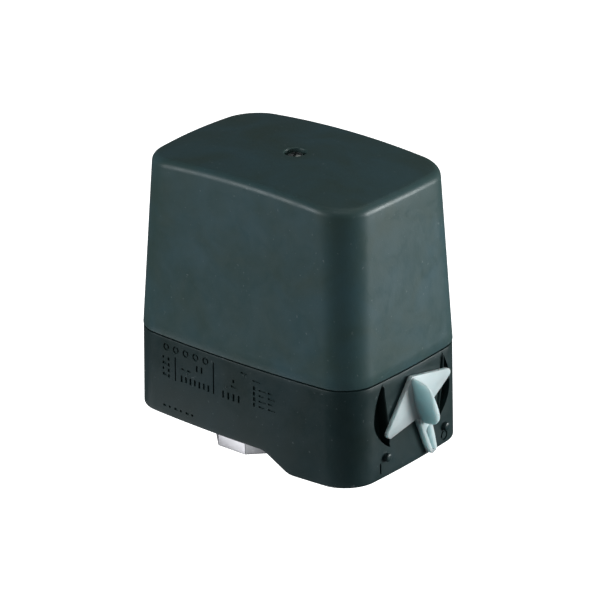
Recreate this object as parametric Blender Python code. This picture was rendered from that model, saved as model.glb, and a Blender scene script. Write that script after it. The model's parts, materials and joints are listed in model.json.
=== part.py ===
# Pressure switch for a small air compressor, with a pressure port below, a
# three-pole contact system under a moulded hood, and an arrow-shaped I/O knob.
# Units: the constants are in millimetres, the scene is in metres, +Z is up.
# Origin: centre of the pressure port's mouth.  +X points to the knob end.
import bpy
import bmesh
import math
from mathutils import Vector

MM = 0.001

# ------------------------------------------------------------ dimensions
GAP = 0.3            # clearance kept between touching pieces
XC = 19.6            # middle of the casing, along X from the port's axis
Z_SEAM = 49.7        # joint line between hood and base
Z_FLOOR = 17.64      # underside of the base over the port
Z_NOSE = 11.04       # underside of the deeper end that holds the knob
X_RAMP0, X_RAMP1 = 32.7, 44.3   # slope between the two undersides
HALF_L, HALF_W = 54.0, 36.6     # half length and width at the seam
BOW_END, BOW_SIDE = 1.66, 2.757 # how far the ends and sides bulge
CORNER_R = 11.7
HOOD_H = 71.7        # hood height at its middle
HOOD_TAPER_L, HOOD_TAPER_W = 3.33, 4.02   # how much narrower the top is
CROWN_L, CROWN_W = 3.59, 1.16   # drop of the domed top towards its edges
HOOD_EDGE_R = 3.0
HOOD_WALL, HOOD_ROOF = 2.3, 2.6
BASE_INSET = 0.13
BASE_FLARE = 0.016
BASE_WALL = 2.6
BASE_EDGE_R = 0.8
TONGUE_IN, TONGUE_OUT, TONGUE_TOP = 5.7, 4.2, 52.5

KNOB_Y, KNOB_Z = 1.3, 37.2      # axis of the knob
X_FACE = XC + HALF_L            # end face that the knob stands on
KNOB_TILT = math.radians(20.0)  # arrow leans towards -Y at rest
RECESS_FLOOR = 69.7

PORT_AF = 32.0       # across flats of the octagonal port
PORT_BORE = 19.0
PORT_DEPTH = 15.0
FLANGE_X, FLANGE_Y = 21.0, 26.0
Z_FL0, Z_FL1 = 20.5, 24.5
Z_CL0, Z_CL1 = 24.8, 28.3
SCREW_X, SCREW_Y = 15.0, 20.0

PIVOT_X, PIVOT_Z = -24.0, 38.25
LEVER_Z0, LEVER_Z1 = 37.0, 39.5
LEVER_END = 47.0
BRK_Y0, BRK_Y1 = 13.0, 14.5
BRK_Z0, BRK_Z1 = 84.0, 86.5
DIFF_X = -15.5

BLK_X, BLK_HX, BLK_HY = 45.0, 17.0, 27.0
BLK_Z0, BLK_Z1 = 54.5, 68.5
POLES = (-16.0, 0.0, 16.0)
CONTACT_DX, TERMINAL_DX = 9.6, 14.6
OPEN_GAP = 3.0       # contact gap with the knob as it stands
CAM_E, CAM_R = 3.2, 6.8
CAM_ANGLE = math.radians(18.0)

for ob in list(bpy.data.objects):
    bpy.data.objects.remove(ob, do_unlink=True)

COL = bpy.context.scene.collection


# ------------------------------------------------------------ mesh helpers
def mesh_object(name, verts, faces):
    me = bpy.data.meshes.new(name)
    me.from_pydata([Vector(v) * MM for v in verts], [], faces)
    me.update()
    bm = bmesh.new()
    bm.from_mesh(me)
    bmesh.ops.recalc_face_normals(bm, faces=bm.faces)
    bm.to_mesh(me)
    bm.free()
    ob = bpy.data.objects.new(name, me)
    COL.objects.link(ob)
    return ob


def combine(ob, tool, op='DIFFERENCE'):
    """Boolean the tool into the object, then drop the tool."""
    mod = ob.modifiers.new("b", 'BOOLEAN')
    mod.operation = op
    mod.solver = 'EXACT'
    mod.object = tool
    dg = bpy.context.evaluated_depsgraph_get()
    dg.update()
    me = bpy.data.meshes.new_from_object(ob.evaluated_get(dg))
    ob.modifiers.clear()
    old = ob.data
    ob.data = me
    bpy.data.meshes.remove(old)
    me.name = ob.name
    bpy.data.objects.remove(tool, do_unlink=True)
    return ob


def cut(ob, *tools):
    for t in tools:
        combine(ob, t, 'DIFFERENCE')
    return ob


def add(ob, *tools):
    for t in tools:
        combine(ob, t, 'UNION')
    return ob


def box(name, x0, x1, y0, y1, z0, z1):
    v = [(x, y, z) for z in (z0, z1) for y in (y0, y1) for x in (x0, x1)]
    f = [(0, 2, 3, 1), (4, 5, 7, 6), (0, 1, 5, 4), (2, 6, 7, 3), (0, 4, 6, 2), (1, 3, 7, 5)]
    return mesh_object(name, v, f)


def to_axis(p, q, h, axis, o):
    """Point with cross-section coordinates p, q and height h along an axis."""
    if axis == 'Z':
        return (o[0] + p, o[1] + q, o[2] + h)
    if axis == 'X':
        return (o[0] + h, o[1] + p, o[2] + q)
    return (o[0] + q, o[1] + h, o[2] + p)


def prism(name, pts, h0, h1, axis='Z', o=(0, 0, 0)):
    n = len(pts)
    v = [to_axis(p, q, h, axis, o) for h in (h0, h1) for p, q in pts]
    f = [tuple(range(n)), tuple(range(2 * n - 1, n - 1, -1))]
    f += [(i, (i + 1) % n, n + (i + 1) % n, n + i) for i in range(n)]
    return mesh_object(name, v, f)


def circle(r, n, cx=0.0, cy=0.0, a0=0.0):
    return [(cx + r * math.cos(a0 + 2 * math.pi * i / n),
             cy + r * math.sin(a0 + 2 * math.pi * i / n)) for i in range(n)]


def rod(name, r, h0, h1, axis='Z', o=(0, 0, 0), n=20):
    return prism(name, circle(r, n), h0, h1, axis, o)


def turned(name, prof, axis='Z', o=(0, 0, 0), n=20, ring=False):
    """Solid of revolution: prof is a list of (radius, height). With ring the
    profile is a closed loop off the axis, otherwise it starts and ends on it."""
    v, rows = [], []
    for r, h in prof:
        if r < 1e-6:
            rows.append([len(v)])
            v.append(to_axis(0, 0, h, axis, o))
        else:
            rows.append(list(range(len(v), len(v) + n)))
            v += [to_axis(p, q, h, axis, o) for p, q in circle(r, n)]
    f = []
    m = len(rows)
    for k in range(m if ring else m - 1):
        a, b = rows[k], rows[(k + 1) % m]
        for i in range(n):
            j = (i + 1) % n
            if len(a) == 1:
                f.append((a[0], b[j], b[i]))
            elif len(b) == 1:
                f.append((a[i], a[j], b[0]))
            else:
                f.append((a[i], a[j], b[j], b[i]))
    return mesh_object(name, v, f)


def coil(name, r, wire, z0, z1, turns, o=(0, 0), per=12, sides=6):
    """Compression spring: a round wire wound upwards, closed at both ends."""
    v, f = [], []
    steps = int(turns * per)
    for k in range(steps + 1):
        t = k / steps
        ease = t - math.sin(4 * math.pi * t) * 0.05
        a = 2 * math.pi * turns * t
        z = z0 + wire / 2 + (z1 - z0 - wire) * ease
        for j in range(sides):
            b = 2 * math.pi * j / sides
            rr = r + wire / 2 * math.cos(b)
            v.append((o[0] + rr * math.cos(a), o[1] + rr * math.sin(a), z + wire / 2 * math.sin(b)))
    for k in range(steps):
        for j in range(sides):
            j2 = (j + 1) % sides
            f.append((k * sides + j, k * sides + j2, (k + 1) * sides + j2, (k + 1) * sides + j))
    f.append(tuple(range(sides)))
    f.append(tuple(range(steps * sides + sides - 1, steps * sides - 1, -1)))
    return mesh_object(name, v, f)


def hexagon(af, a0=0.0):
    return circle(af / 2 / math.cos(math.pi / 6), 6, a0=a0)


def screw(name, x, y, z, head_d, head_h, shank_d, length, down=True, n=10, cross=False):
    """Slotted cheese-head screw; z is the face under the head."""
    s = -1.0 if down else 1.0
    rh, rs = head_d / 2, shank_d / 2
    prof = [(0, z - s * head_h), (rh - 0.5, z - s * head_h), (rh, z - s * (head_h - 0.5)), (rh, z),
            (rs, z), (rs, z + s * (length - 0.6)), (rs - 0.5, z + s * length), (0, z + s * length)]
    ob = turned(name, prof, o=(x, y, 0), n=n)
    za, zb = sorted((z - s * (head_h + 1), z - s * (head_h - 1.0)))
    cut(ob, box("slot", x - rh - 1, x + rh + 1, y - 0.5, y + 0.5, za, zb))
    if cross:
        cut(ob, box("slot", x - 0.5, x + 0.5, y - rh * 0.55, y + rh * 0.55, za, zb))
    return ob


# ------------------------------------------------------------ casing outline
def edge_value(x, y, A, B, sx, sy, R):
    """Below zero inside the casing's outline, a rectangle with bowed sides."""
    re = (B * B + sx * sx) / (2 * sx)
    rs = (A * A + sy * sy) / (2 * sy)
    d1 = math.hypot(abs(x) - (A - re), y) - re
    d2 = math.hypot(x, abs(y) - (B - rs)) - rs
    if d1 > -R and d2 > -R:
        return math.hypot(d1 + R, d2 + R) - R
    return max(d1, d2)


def directions():
    pts = [(HALF_L, y) for y in (0.0, 9.0, 18.0)]
    corner = [(HALF_L - 12 + 11.7 * math.cos(math.radians(a)), HALF_W - 12.5 + 11.7 * math.sin(math.radians(a)))
              for a in (2, 20, 38, 56, 74, 90)]
    pts += corner
    pts += [(x, HALF_W) for x in (X_RAMP1 - XC, X_RAMP0 - XC, 0.0, -14.0, -28.0)]
    pts += [(-x, y) for x, y in reversed(corner)]
    pts += [(-HALF_L, y) for y in (18.0, 9.0, 0.0)]
    return [math.atan2(y, x) for x, y in pts]


DIRS = directions()
NH = len(DIRS)
NR = 2 * NH - 2


def outline(s=0.0, inset=0.0, flare=0.0):
    """Ring of (x, y) at hood fraction s, mirrored about y = 0."""
    A = HALF_L - HOOD_TAPER_L * s - inset + flare
    B = HALF_W - HOOD_TAPER_W * s - inset + flare
    sx = BOW_END + 0.60 * s
    sy = BOW_SIDE - 2.05 * s
    R = max(CORNER_R + 1.0 * s - inset, 1.2)
    half = []
    for d in DIRS:
        c, q = math.cos(d), math.sin(d)
        lo, hi = 0.0, 90.0
        for _ in range(40):
            m = (lo + hi) / 2
            if edge_value(m * c, m * q, A, B, sx, sy, R) < 0:
                lo = m
            else:
                hi = m
        half.append((XC + lo * c, max(lo * q, 0.0)))
    half[0] = (half[0][0], 0.0)
    half[-1] = (half[-1][0], 0.0)
    return half + [(x, -y) for x, y in reversed(half[1:-1])]


def stack(name, rings, first_cap, last_cap):
    """Skin a list of rings; caps are 'strips', 'fan' or None for a closed tube."""
    v = [p for r in rings for p in r]
    f = []
    m = len(rings)
    for k in range(m - 1):
        for i in range(NR):
            j = (i + 1) % NR
            f.append((k * NR + i, k * NR + j, (k + 1) * NR + j, (k + 1) * NR + i))
    for kind, k in ((first_cap, 0), (last_cap, m - 1)):
        if kind == 'strips':
            for i in range(NH - 1):
                q = [i, i + 1, (NR - i - 1) % NR, (NR - i) % NR]
                q = [a for n_, a in enumerate(q) if a not in q[:n_]]
                f.append(tuple(k * NR + a for a in q))
        elif kind == 'fan':
            c = len(v)
            zc = max(p[2] for p in rings[k])
            v.append((XC, 0.0, zc))
            f += [(k * NR + i, k * NR + (i + 1) % NR, c) for i in range(NR)]
        elif kind == 'tube' and k == m - 1:
            for i in range(NR):
                j = (i + 1) % NR
                f.append((k * NR + i, k * NR + j, j, i))
    return mesh_object(name, v, f)


# ------------------------------------------------------------ cover hood
def crown(x, y):
    return Z_SEAM + HOOD_H - CROWN_L * ((x - XC) / HALF_L) ** 2 - CROWN_W * (y / HALF_W) ** 2


def hood():
    rings = []
    zb = Z_SEAM + 0.15
    rings.append([(x, y, zb) for x, y in outline(0.0)])
    for k in range(4):
        a = math.radians(30.0 * k)
        ring = outline(1.0, HOOD_EDGE_R * (1 - math.cos(a)))
        rings.append([(x, y, crown(x, y) - HOOD_EDGE_R * (1 - math.sin(a))) for x, y in ring])
    last = outline(1.0, HOOD_EDGE_R)
    for t in (0.7, 0.38):
        ring = [(XC + (x - XC) * t, y * t) for x, y in last]
        rings.append([(x, y, crown(x, y)) for x, y in ring])
    outer_end = len(rings)
    inner = []
    for t in (0.4,):
        ring = [(XC + (x - XC) * t, y * t) for x, y in outline(1.0, HOOD_WALL + 2)]
        inner.append([(x, y, crown(x, y) - HOOD_ROOF) for x, y in ring])
    ring = outline(1.0, HOOD_WALL + 1.6)
    inner.append([(x, y, crown(x, y) - HOOD_ROOF) for x, y in ring])
    ring = outline(0.97, HOOD_WALL)
    inner.append([(x, y, crown(x, y) - HOOD_ROOF - 1.8) for x, y in ring])
    inner.append([(x, y, zb) for x, y in outline(0.0, HOOD_WALL)])
    # one skin: inner top -> inner wall -> rim -> outer wall -> outer top
    v, f = [], []
    allr = inner + rings
    for r in allr:
        v += r
    m = len(allr)
    for k in range(m - 1):
        for i in range(NR):
            j = (i + 1) % NR
            f.append((k * NR + i, k * NR + j, (k + 1) * NR + j, (k + 1) * NR + i))
    for k, zc in ((0, Z_SEAM + HOOD_H - HOOD_ROOF), (m - 1, Z_SEAM + HOOD_H)):
        c = len(v)
        v.append((XC, 0.0, zc))
        f += [(k * NR + i, k * NR + (i + 1) % NR, c) for i in range(NR)]
    ob = mesh_object("cover_hood", v, f)
    add(ob, rod("boss", 6.0, 112.3, 119.6, o=(XC, 0, 0), n=24))
    cut(ob, rod("bore", 4.2, 118.2, 125.0, o=(XC, 0, 0), n=24),
        rod("hole", 2.3, 100.0, 125.0, o=(XC, 0, 0), n=16))
    return ob


# ------------------------------------------------------------ base housing
def under(x):
    """Height of the base's underside at x."""
    t = min(max((x - X_RAMP0) / (X_RAMP1 - X_RAMP0), 0.0), 1.0)
    return Z_FLOOR + (Z_NOSE - Z_FLOOR) * t


def crescent(side, x0, x1, z_top):
    """Sickle-shaped pocket in the end face beside the knob."""
    outer = [(side * y, z) for y, z in ((17.9, z_top - KNOB_Z), (19.8, 8.6), (21.5, 5.0), (22.6, 1.0), (23.0, -3.0),
                                        (22.5, -7.2), (20.9, -11.2), (18.3, -14.3), (14.6, -16.3))]
    inner = [(side * y, z) for y, z in ((14.45, -12.0), (15.3, -6.8), (16.5, -2.0), (17.4, 2.5), (17.95, 7.5))]
    pts = outer + inner
    return prism("pocket", pts, x0, x1, 'X', (0, KNOB_Y, KNOB_Z))


def base():
    rings = []

    def ring(inset, zf, s=0.0):
        out = []
        for x, y in outline(s, inset):
            z = zf(x)
            fl = 1 + BASE_FLARE * (Z_SEAM - z) / HALF_L
            out.append((XC + (x - XC) * fl, y * fl, z))
        return out
    r = BASE_EDGE_R
    for a in (0.0, 45.0, 90.0):
        a = math.radians(a)
        rings.append(ring(BASE_INSET + r * (1 - math.sin(a)), lambda x, a=a: under(x) + r * (1 - math.cos(a))))
    zt = Z_SEAM - 0.15
    rings.append(ring(BASE_INSET, lambda x: zt))
    rings.append(ring(TONGUE_OUT, lambda x: zt))
    rings.append(ring(TONGUE_OUT, lambda x: TONGUE_TOP))
    rings.append(ring(TONGUE_IN, lambda x: TONGUE_TOP))
    rings.append(ring(TONGUE_IN, lambda x: 46.5))
    rings.append(ring(BASE_WALL, lambda x: 44.0))
    rings.append(ring(BASE_WALL, lambda x: under(x) + BASE_WALL))
    ob = stack("base_housing", rings, 'strips', 'strips')
    # thick pad behind the knob, columns under the terminal block
    pad = rod("pad", 25.5, 65.0, 71.6, 'X', (0, KNOB_Y, KNOB_Z), n=32)
    combine(pad, box("trim", 60, 80, -40, 40, 13.0, 47.5), 'INTERSECT')
    add(ob, pad)
    for x in (BLK_X - 12, BLK_X + 12):
        for y in (-24.0, 24.0):
            add(ob, rod("column", 3.8, 14.0 if x > 50 else 16.0 + 2.5, BLK_Z0 - GAP, o=(x, y, 0), n=14))
    # pockets, shaft hole, port hole, cable entries, screw holes
    cut(ob,
        crescent(-1, RECESS_FLOOR, 80.0, Z_SEAM - 0.8),
        crescent(1, RECESS_FLOOR, 80.0, Z_SEAM - 0.8),
        rod("hub_hole", 6.1, 68.8, 80.0, 'X', (0, KNOB_Y, KNOB_Z), n=24),
        rod("shaft_hole", 3.4, 60.0, 70.0, 'X', (0, KNOB_Y, KNOB_Z), n=16))
    af = PORT_AF + 2 * GAP
    cut(ob, prism("port_hole", circle(af / 2 / math.cos(math.pi / 8), 8, a0=math.pi / 8), 10.0, 21.0))
    for y in (-13.2, 13.2):
        cut(ob, rod("entry", 10.0, -40.0, -28.0, 'X', (0, y, 33.0), n=24))
    for y in (-21.5, 21.5):
        cut(ob, rod("hole", 2.2, 10.0, 24.0, o=(0, y, 0), n=12))
    for x, y in ((BLK_X - 12, -24.0), (BLK_X + 12, 24.0)):
        cut(ob, rod("pilot", 1.6, 40.0, 60.0, o=(x, y, 0), n=10))
    # pips and the I and O marks on the end face
    add(ob, rod("pip", 1.7, 70.0, X_FACE + 1.9, 'X', (0, -15.0, 19.2), n=12),
        rod("pip", 1.7, 70.0, X_FACE + 1.6, 'X', (0, 20.5, 18.4), n=12))
    cut(ob, box("mark_i", 72.9, 76.0, -18.7, -17.9, 13.6, 17.6))
    ringo = turned("mark_o", [(1.3, 72.7), (2.1, 72.7), (2.1, 76.0), (1.3, 76.0)], 'X', (0, 20.2, 14.7), n=16, ring=True)
    cut(ob, ringo)
    return ob


# ------------------------------------------------------------ knob
def arrow_outline():
    """Arrow in its own frame: s to the right, a towards its point."""
    right = [(0.0, 10.8), (18.2, -0.5), (19.3, -1.2), (19.8, -2.5), (19.5, -3.8), (18.4, -4.5),
             (3.4, -7.4), (2.8, -15.0), (2.4, -20.7), (1.9, -25.4), (1.3, -26.2)]
    left = [(-s, a) for s, a in reversed(right[1:])]
    return right + left


def turn(s, a):
    c, q = math.cos(KNOB_TILT), math.sin(KNOB_TILT)
    return (s * c - a * q, s * q + a * c)


# finger fin, from its foot outwards: height over the end face, upper end,
# lower end, half thickness
FIN = [(1.0, 10.4, -10.9, 3.2), (2.2, 10.3, -10.9, 3.2), (2.8, 10.1, -10.9, 2.6), (3.6, 9.9, -10.9, 2.2),
       (5.5, 9.6, -10.85, 1.95), (7.3, 9.0, -10.5, 1.7), (8.6, 8.2, -9.7, 1.5), (9.4, 7.2, -8.6, 1.35),
       (9.9, 5.2, -7.0, 1.1), (10.1, 2.0, -4.5, 0.7)]


def fin():
    v, f = [], []
    for h, a1, a0, w in FIN:
        end = min(2.2, (a1 - a0) * 0.3)
        foot = min(0.6, (a1 - a0) * 0.2)
        ring = [(0.35 * w, a1), (w, a1 - end), (w, a0 + foot), (w * 0.8, a0)]
        ring += [(-s, a) for s, a in reversed(ring)]
        for s, a in ring:
            y, z = turn(s, a)
            v.append((X_FACE + h, KNOB_Y + y, KNOB_Z + z))
    m = len(FIN)
    for k in range(m - 1):
        for i in range(8):
            j = (i + 1) % 8
            f.append((k * 8 + i, k * 8 + j, (k + 1) * 8 + j, (k + 1) * 8 + i))
    f.append(tuple(range(8)))
    f.append(tuple(range(m * 8 - 1, m * 8 - 9, -1)))
    return mesh_object("fin", v, f)


def knob():
    o = (0, KNOB_Y, KNOB_Z)
    pts = [turn(s, a) for s, a in arrow_outline()]
    ob = prism("switch_knob", pts, X_FACE + 0.5, X_FACE + 2.2, 'X', o)
    add(ob, fin())
    # the tail is hollowed into a long narrow triangle
    hollow = [(0.25, -13.2), (1.35, -24.9), (-0.8, -24.9)]
    cut(ob, prism("hollow", [turn(s, a) for s, a in hollow], X_FACE + 1.1, X_FACE + 6, 'X', o))
    add(ob, rod("hub", 5.7, 69.3, X_FACE + 1.0, 'X', o, n=24))
    cut(ob, rod("bore", 3.15, 60.0, 73.0, 'X', o, n=16))
    return ob


def cam():
    """Eccentric lobe that lifts the yoke, with the shaft's bore through its hub."""
    cy, cz = CAM_E * math.cos(CAM_ANGLE), CAM_E * math.sin(CAM_ANGLE)
    o = (0, KNOB_Y, KNOB_Z)
    ob = prism("off_cam", circle(CAM_R, 24, cy, cz), 49.8, 54.8, 'X', o)
    add(ob, rod("hub", 5.0, 49.6, 57.5, 'X', o, n=20))
    cut(ob, rod("bore", 3.15, 40.0, 60.0, 'X', o, n=16))
    return ob


# ------------------------------------------------------------ pressure side
def socket():
    ob = prism("pressure_socket", circle(PORT_AF / 2 / math.cos(math.pi / 8), 8, a0=math.pi / 8), 0.0, Z_FL0 + 0.4)
    c = 4.0
    fl = []
    for sx, sy, a0 in ((1, 1, 0), (-1, 1, 90), (-1, -1, 180), (1, -1, 270)):
        for i in range(4):
            a = math.radians(a0 + 30 * i)
            fl.append((sx * (FLANGE_X - c) + c * math.cos(a), sy * (FLANGE_Y - c) + c * math.sin(a)))
    add(ob, prism("flange", fl, Z_FL0, Z_FL1))
    cut(ob, turned("bore", [(0, -5), (PORT_BORE / 2 + 0.8, -5), (PORT_BORE / 2 + 0.8, 0.3), (PORT_BORE / 2, 1.3),
                            (PORT_BORE / 2, PORT_DEPTH), (0, PORT_DEPTH)], n=24),
        rod("passage", 2.0, PORT_DEPTH - 1, 23.0, n=12),
        rod("chamber", 14.0, 22.3, 30.0, n=20),
        rod("seat", 18.3, 23.1, 30.0, n=24))
    for x in (-SCREW_X, SCREW_X):
        for y in (-SCREW_Y, SCREW_Y):
            cut(ob, rod("hole", 2.6, 15.0, 30.0, o=(x, y, 0), n=12))
    for y in (-21.5, 21.5):
        cut(ob, rod("hole", 2.2, 15.0, 23.9, o=(0, y, 0), n=12))
    return ob, fl


def build():
    parts = {}

    def keep(ob, body, colour, rough, metal):
        parts[ob.name] = (ob, body, colour, rough, metal)
        return ob

    black = (0.028, 0.036, 0.036)
    keep(hood(), "cover", (0.045, 0.060, 0.060), 0.42, 0.0)
    keep(base(), "root", black, 0.48, 0.0)
    keep(knob(), "knob", (0.55, 0.62, 0.64), 0.45, 0.0)

    # cover fastening
    sc = screw("cover_screw", XC, 0, 118.5, 7.4, 2.3, 4.0, 18.0, cross=True, n=18)
    keep(sc, "cover_screw", (0.10, 0.11, 0.11), 0.35, 0.9)
    keep(turned("cover_screw_retainer", [(2.25, 111.0), (4.4, 111.0), (4.4, 111.9), (2.25, 111.9)],
                o=(XC, 0, 0), n=16, ring=True), "cover", (0.5, 0.5, 0.5), 0.3, 1.0)
    post = turned("cover_post", [(0, 83.6), (2.2, 83.6), (2.2, 86.8), (4.8, 86.8), (4.8, 110.0), (4.1, 110.7), (0, 110.7)],
                  o=(XC, 0, 0), n=16)
    cut(post, rod("bore", 2.2, 98.0, 115.0, o=(XC, 0, 0), n=14))
    keep(post, "root", (0.62, 0.62, 0.60), 0.3, 1.0)
    zs0, zs1 = Z_SEAM + 0.15, 51.4
    rr = []
    for inset, z in ((2.7, zs0), (2.7, zs1), (3.8, zs1), (3.8, zs0)):
        rr.append([(x, y, z) for x, y in outline(0.0, inset)])
    keep(stack("cover_seal", rr, None, 'tube'), "root", (0.02, 0.02, 0.02), 0.8, 0.0)

    # knob shaft train
    o = (0, KNOB_Y, KNOB_Z)
    sh = turned("knob_shaft", [(0, 48.4), (2.5, 48.4), (3.0, 48.9), (3.0, 62.3), (2.3, 62.3), (2.3, 63.9), (3.0, 63.9),
                               (3.0, 72.7), (0, 72.7)], 'X', o, n=16)
    keep(sh, "knob", (0.6, 0.6, 0.6), 0.3, 1.0)
    keep(cam(), "knob", (0.75, 0.73, 0.66), 0.5, 0.0)
    clip = turned("shaft_clip", [(2.45, 62.6), (5.0, 62.6), (5.0, 63.6), (2.45, 63.6)], 'X', o, n=16, ring=True)
    cut(clip, box("mouth", 60, 66, KNOB_Y - 1.6, KNOB_Y + 1.6, KNOB_Z - 8, KNOB_Z))
    keep(clip, "knob", (0.35, 0.35, 0.36), 0.3, 1.0)

    # pressure side
    sock, fl = socket()
    keep(sock, "root", (0.78, 0.78, 0.80), 0.32, 1.0)
    keep(rod("diaphragm", 18.0, 23.4, 24.4, n=24), "root", (0.03, 0.03, 0.03), 0.7, 0.0)
    cl = prism("clamp_flange", fl, Z_CL0, Z_CL1)
    cut(cl, rod("hole", 13.0, 20, 30, n=20))
    for x in (-SCREW_X, SCREW_X):
        for y in (-SCREW_Y, SCREW_Y):
            cut(cl, rod("hole", 2.7, 15.0, 30.0, o=(x, y, 0), n=12))
    keep(cl, "root", (0.62, 0.62, 0.62), 0.35, 1.0)
    keep(turned("pressure_piston", [(0, 24.7), (12.2, 24.7), (12.4, 24.9), (12.4, 27.5), (12.2, 27.7), (4.0, 27.7), (4.0, 36.2),
                                    (3.5, 36.7), (0, 36.7)], n=16), "piston", (0.72, 0.60, 0.32), 0.3, 1.0)
    k = 0
    for x in (-SCREW_X, SCREW_X):
        for y in (-SCREW_Y, SCREW_Y):
            k += 1
            keep(screw("flange_screw_%d" % k, x, y, 30.9, 8.0, 3.4, 4.6, 9.6), "root", (0.6, 0.6, 0.6), 0.3, 1.0)
    for nm, y in (("housing_screw_front", -21.5), ("housing_screw_rear", 21.5)):
        keep(screw(nm, 0, y, Z_FLOOR - GAP, 7.4, 2.3, 3.8, 5.9, down=False), "root", (0.55, 0.55, 0.55), 0.3, 1.0)

    # steel frame: top plate, two side plates with windows, two feet
    br = box("frame_bracket", -28.0, 27.0, -BRK_Y1, BRK_Y1, BRK_Z0, BRK_Z1)
    for s in (-1, 1):
        ya, yb = sorted((s * BRK_Y0, s * BRK_Y1))
        add(br, box("side", -28.0, 21.0, ya, yb, 28.6, BRK_Z0 + 1.0))
        ya, yb = sorted((s * (BRK_Y1 - 0.5), s * 25.0))
        add(br, box("foot", -20.5, 20.5, ya, yb, 28.6, 30.6))
    cut(br, box("window", -14.0, 14.0, -20, 20, 44.0, 78.0))
    for x in (-SCREW_X, SCREW_X):
        for y in (-SCREW_Y, SCREW_Y):
            cut(br, rod("hole", 2.7, 20.0, 33.0, o=(x, y, 0), n=12))
    cut(br, rod("pin_hole", 2.2, -20, 20, 'Y', (PIVOT_X, 0, PIVOT_Z), n=12),
        rod("hole", 3.4, 80, 90, n=16),
        rod("hole", 2.3, 80, 90, o=(DIFF_X, 0, 0), n=12),
        rod("hole", 2.5, 80, 90, o=(XC, 0, 0), n=14),
        rod("hole", 2.0, 80, 90, o=(-21.0, -9.0, 0), n=12))
    keep(br, "root", (0.63, 0.62, 0.58), 0.35, 1.0)

    # rocking lever and its pin
    lv = box("rocker_lever", PIVOT_X + 2.6, LEVER_END, -11.0, 11.0, LEVER_Z0, LEVER_Z1)
    add(lv, rod("eye", 3.6, -11.0, 11.0, 'Y', (PIVOT_X, 0, PIVOT_Z), n=20))
    cut(lv, rod("bore", 2.3, -20, 20, 'Y', (PIVOT_X, 0, PIVOT_Z), n=16))
    for s in (-1, 1):
        ya, yb = sorted((s * 6.5, s * 15.0))
        cut(lv, box("waist", 17.0, 60.0, ya, yb, 30, 50))
    keep(lv, "lever", (0.60, 0.58, 0.52), 0.35, 1.0)
    keep(turned("rocker_pin", [(0, -16.6), (3.2, -16.6), (3.2, -14.9), (2.0, -14.9), (2.0, 15.9), (1.5, 16.4), (0, 16.4)],
                'Y', (PIVOT_X, 0, PIVOT_Z), n=14), "root", (0.6, 0.6, 0.6), 0.25, 1.0)

    # range spring, seats, nut and spindle
    keep(turned("range_seat_lower", [(0, 39.8), (3.0, 39.8), (3.0, 40.9), (11.0, 40.9), (11.0, 44.4), (10.0, 44.4), (10.0, 42.3),
                                     (0, 42.3)], n=24), "range_seat", (0.6, 0.6, 0.6), 0.3, 1.0)
    keep(coil("range_spring", 7.6, 2.4, 43.3, 72.9, 6.0, per=11, sides=5), "range_nut", (0.30, 0.32, 0.34), 0.3, 1.0)
    nut = turned("range_nut", [(0, 73.2), (9.6, 73.2), (9.6, 75.2), (6.0, 75.2), (6.0, 79.5), (0, 79.5)], n=24)
    cut(nut, rod("bore", 3.25, 60, 90, n=16))
    keep(nut, "range_nut", (0.62, 0.50, 0.25), 0.3, 1.0)
    sp = turned("range_spindle", [(0, 52.0), (2.5, 52.0), (3.0, 52.5), (3.0, 86.8), (4.4, 86.8), (4.4, 88.0), (0, 88.0)], n=16)
    add(sp, prism("hex", hexagon(10.0), 87.5, 93.5))
    cut(sp, box("slot", -7, 7, -0.7, 0.7, 92.0, 96.0))
    keep(sp, "range_spindle", (0.62, 0.62, 0.62), 0.3, 1.0)

    # differential spring set
    keep(turned("differential_seat", [(0, 39.8), (4.1, 39.8), (4.1, 42.5), (3.6, 42.5), (3.6, 40.9), (0, 40.9)],
                o=(DIFF_X, 0, 0), n=16), "lever", (0.6, 0.6, 0.6), 0.3, 1.0)
    keep(coil("differential_spring", 2.9, 1.0, 41.7, 68.7, 8.0, o=(DIFF_X, 0), per=8, sides=4), "diff_nut",
         (0.30, 0.32, 0.34), 0.3, 1.0)
    dn = prism("differential_nut", hexagon(8.0), 69.0, 73.0, o=(DIFF_X, 0, 0))
    cut(dn, rod("bore", 2.1, 60, 90, o=(DIFF_X, 0, 0), n=12))
    keep(dn, "diff_nut", (0.62, 0.50, 0.25), 0.3, 1.0)
    ds = screw("differential_screw", DIFF_X, 0, 86.8, 7.0, 3.6, 3.8, 30.0)
    keep(ds, "diff_screw", (0.62, 0.62, 0.62), 0.3, 1.0)

    # earth terminal on the frame
    ec = box("earth_clamp", -25.0, -17.0, -13.0, -5.0, BRK_Z1 + GAP, BRK_Z1 + GAP + 1.2)
    cut(ec, rod("hole", 2.1, 80, 95, o=(-21.0, -9.0, 0), n=12))
    keep(ec, "root", (0.62, 0.60, 0.52), 0.35, 1.0)
    keep(screw("earth_screw", -21.0, -9.0, 88.3, 7.0, 2.4, 3.4, 6.5), "root", (0.62, 0.58, 0.40), 0.3, 1.0)

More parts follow.
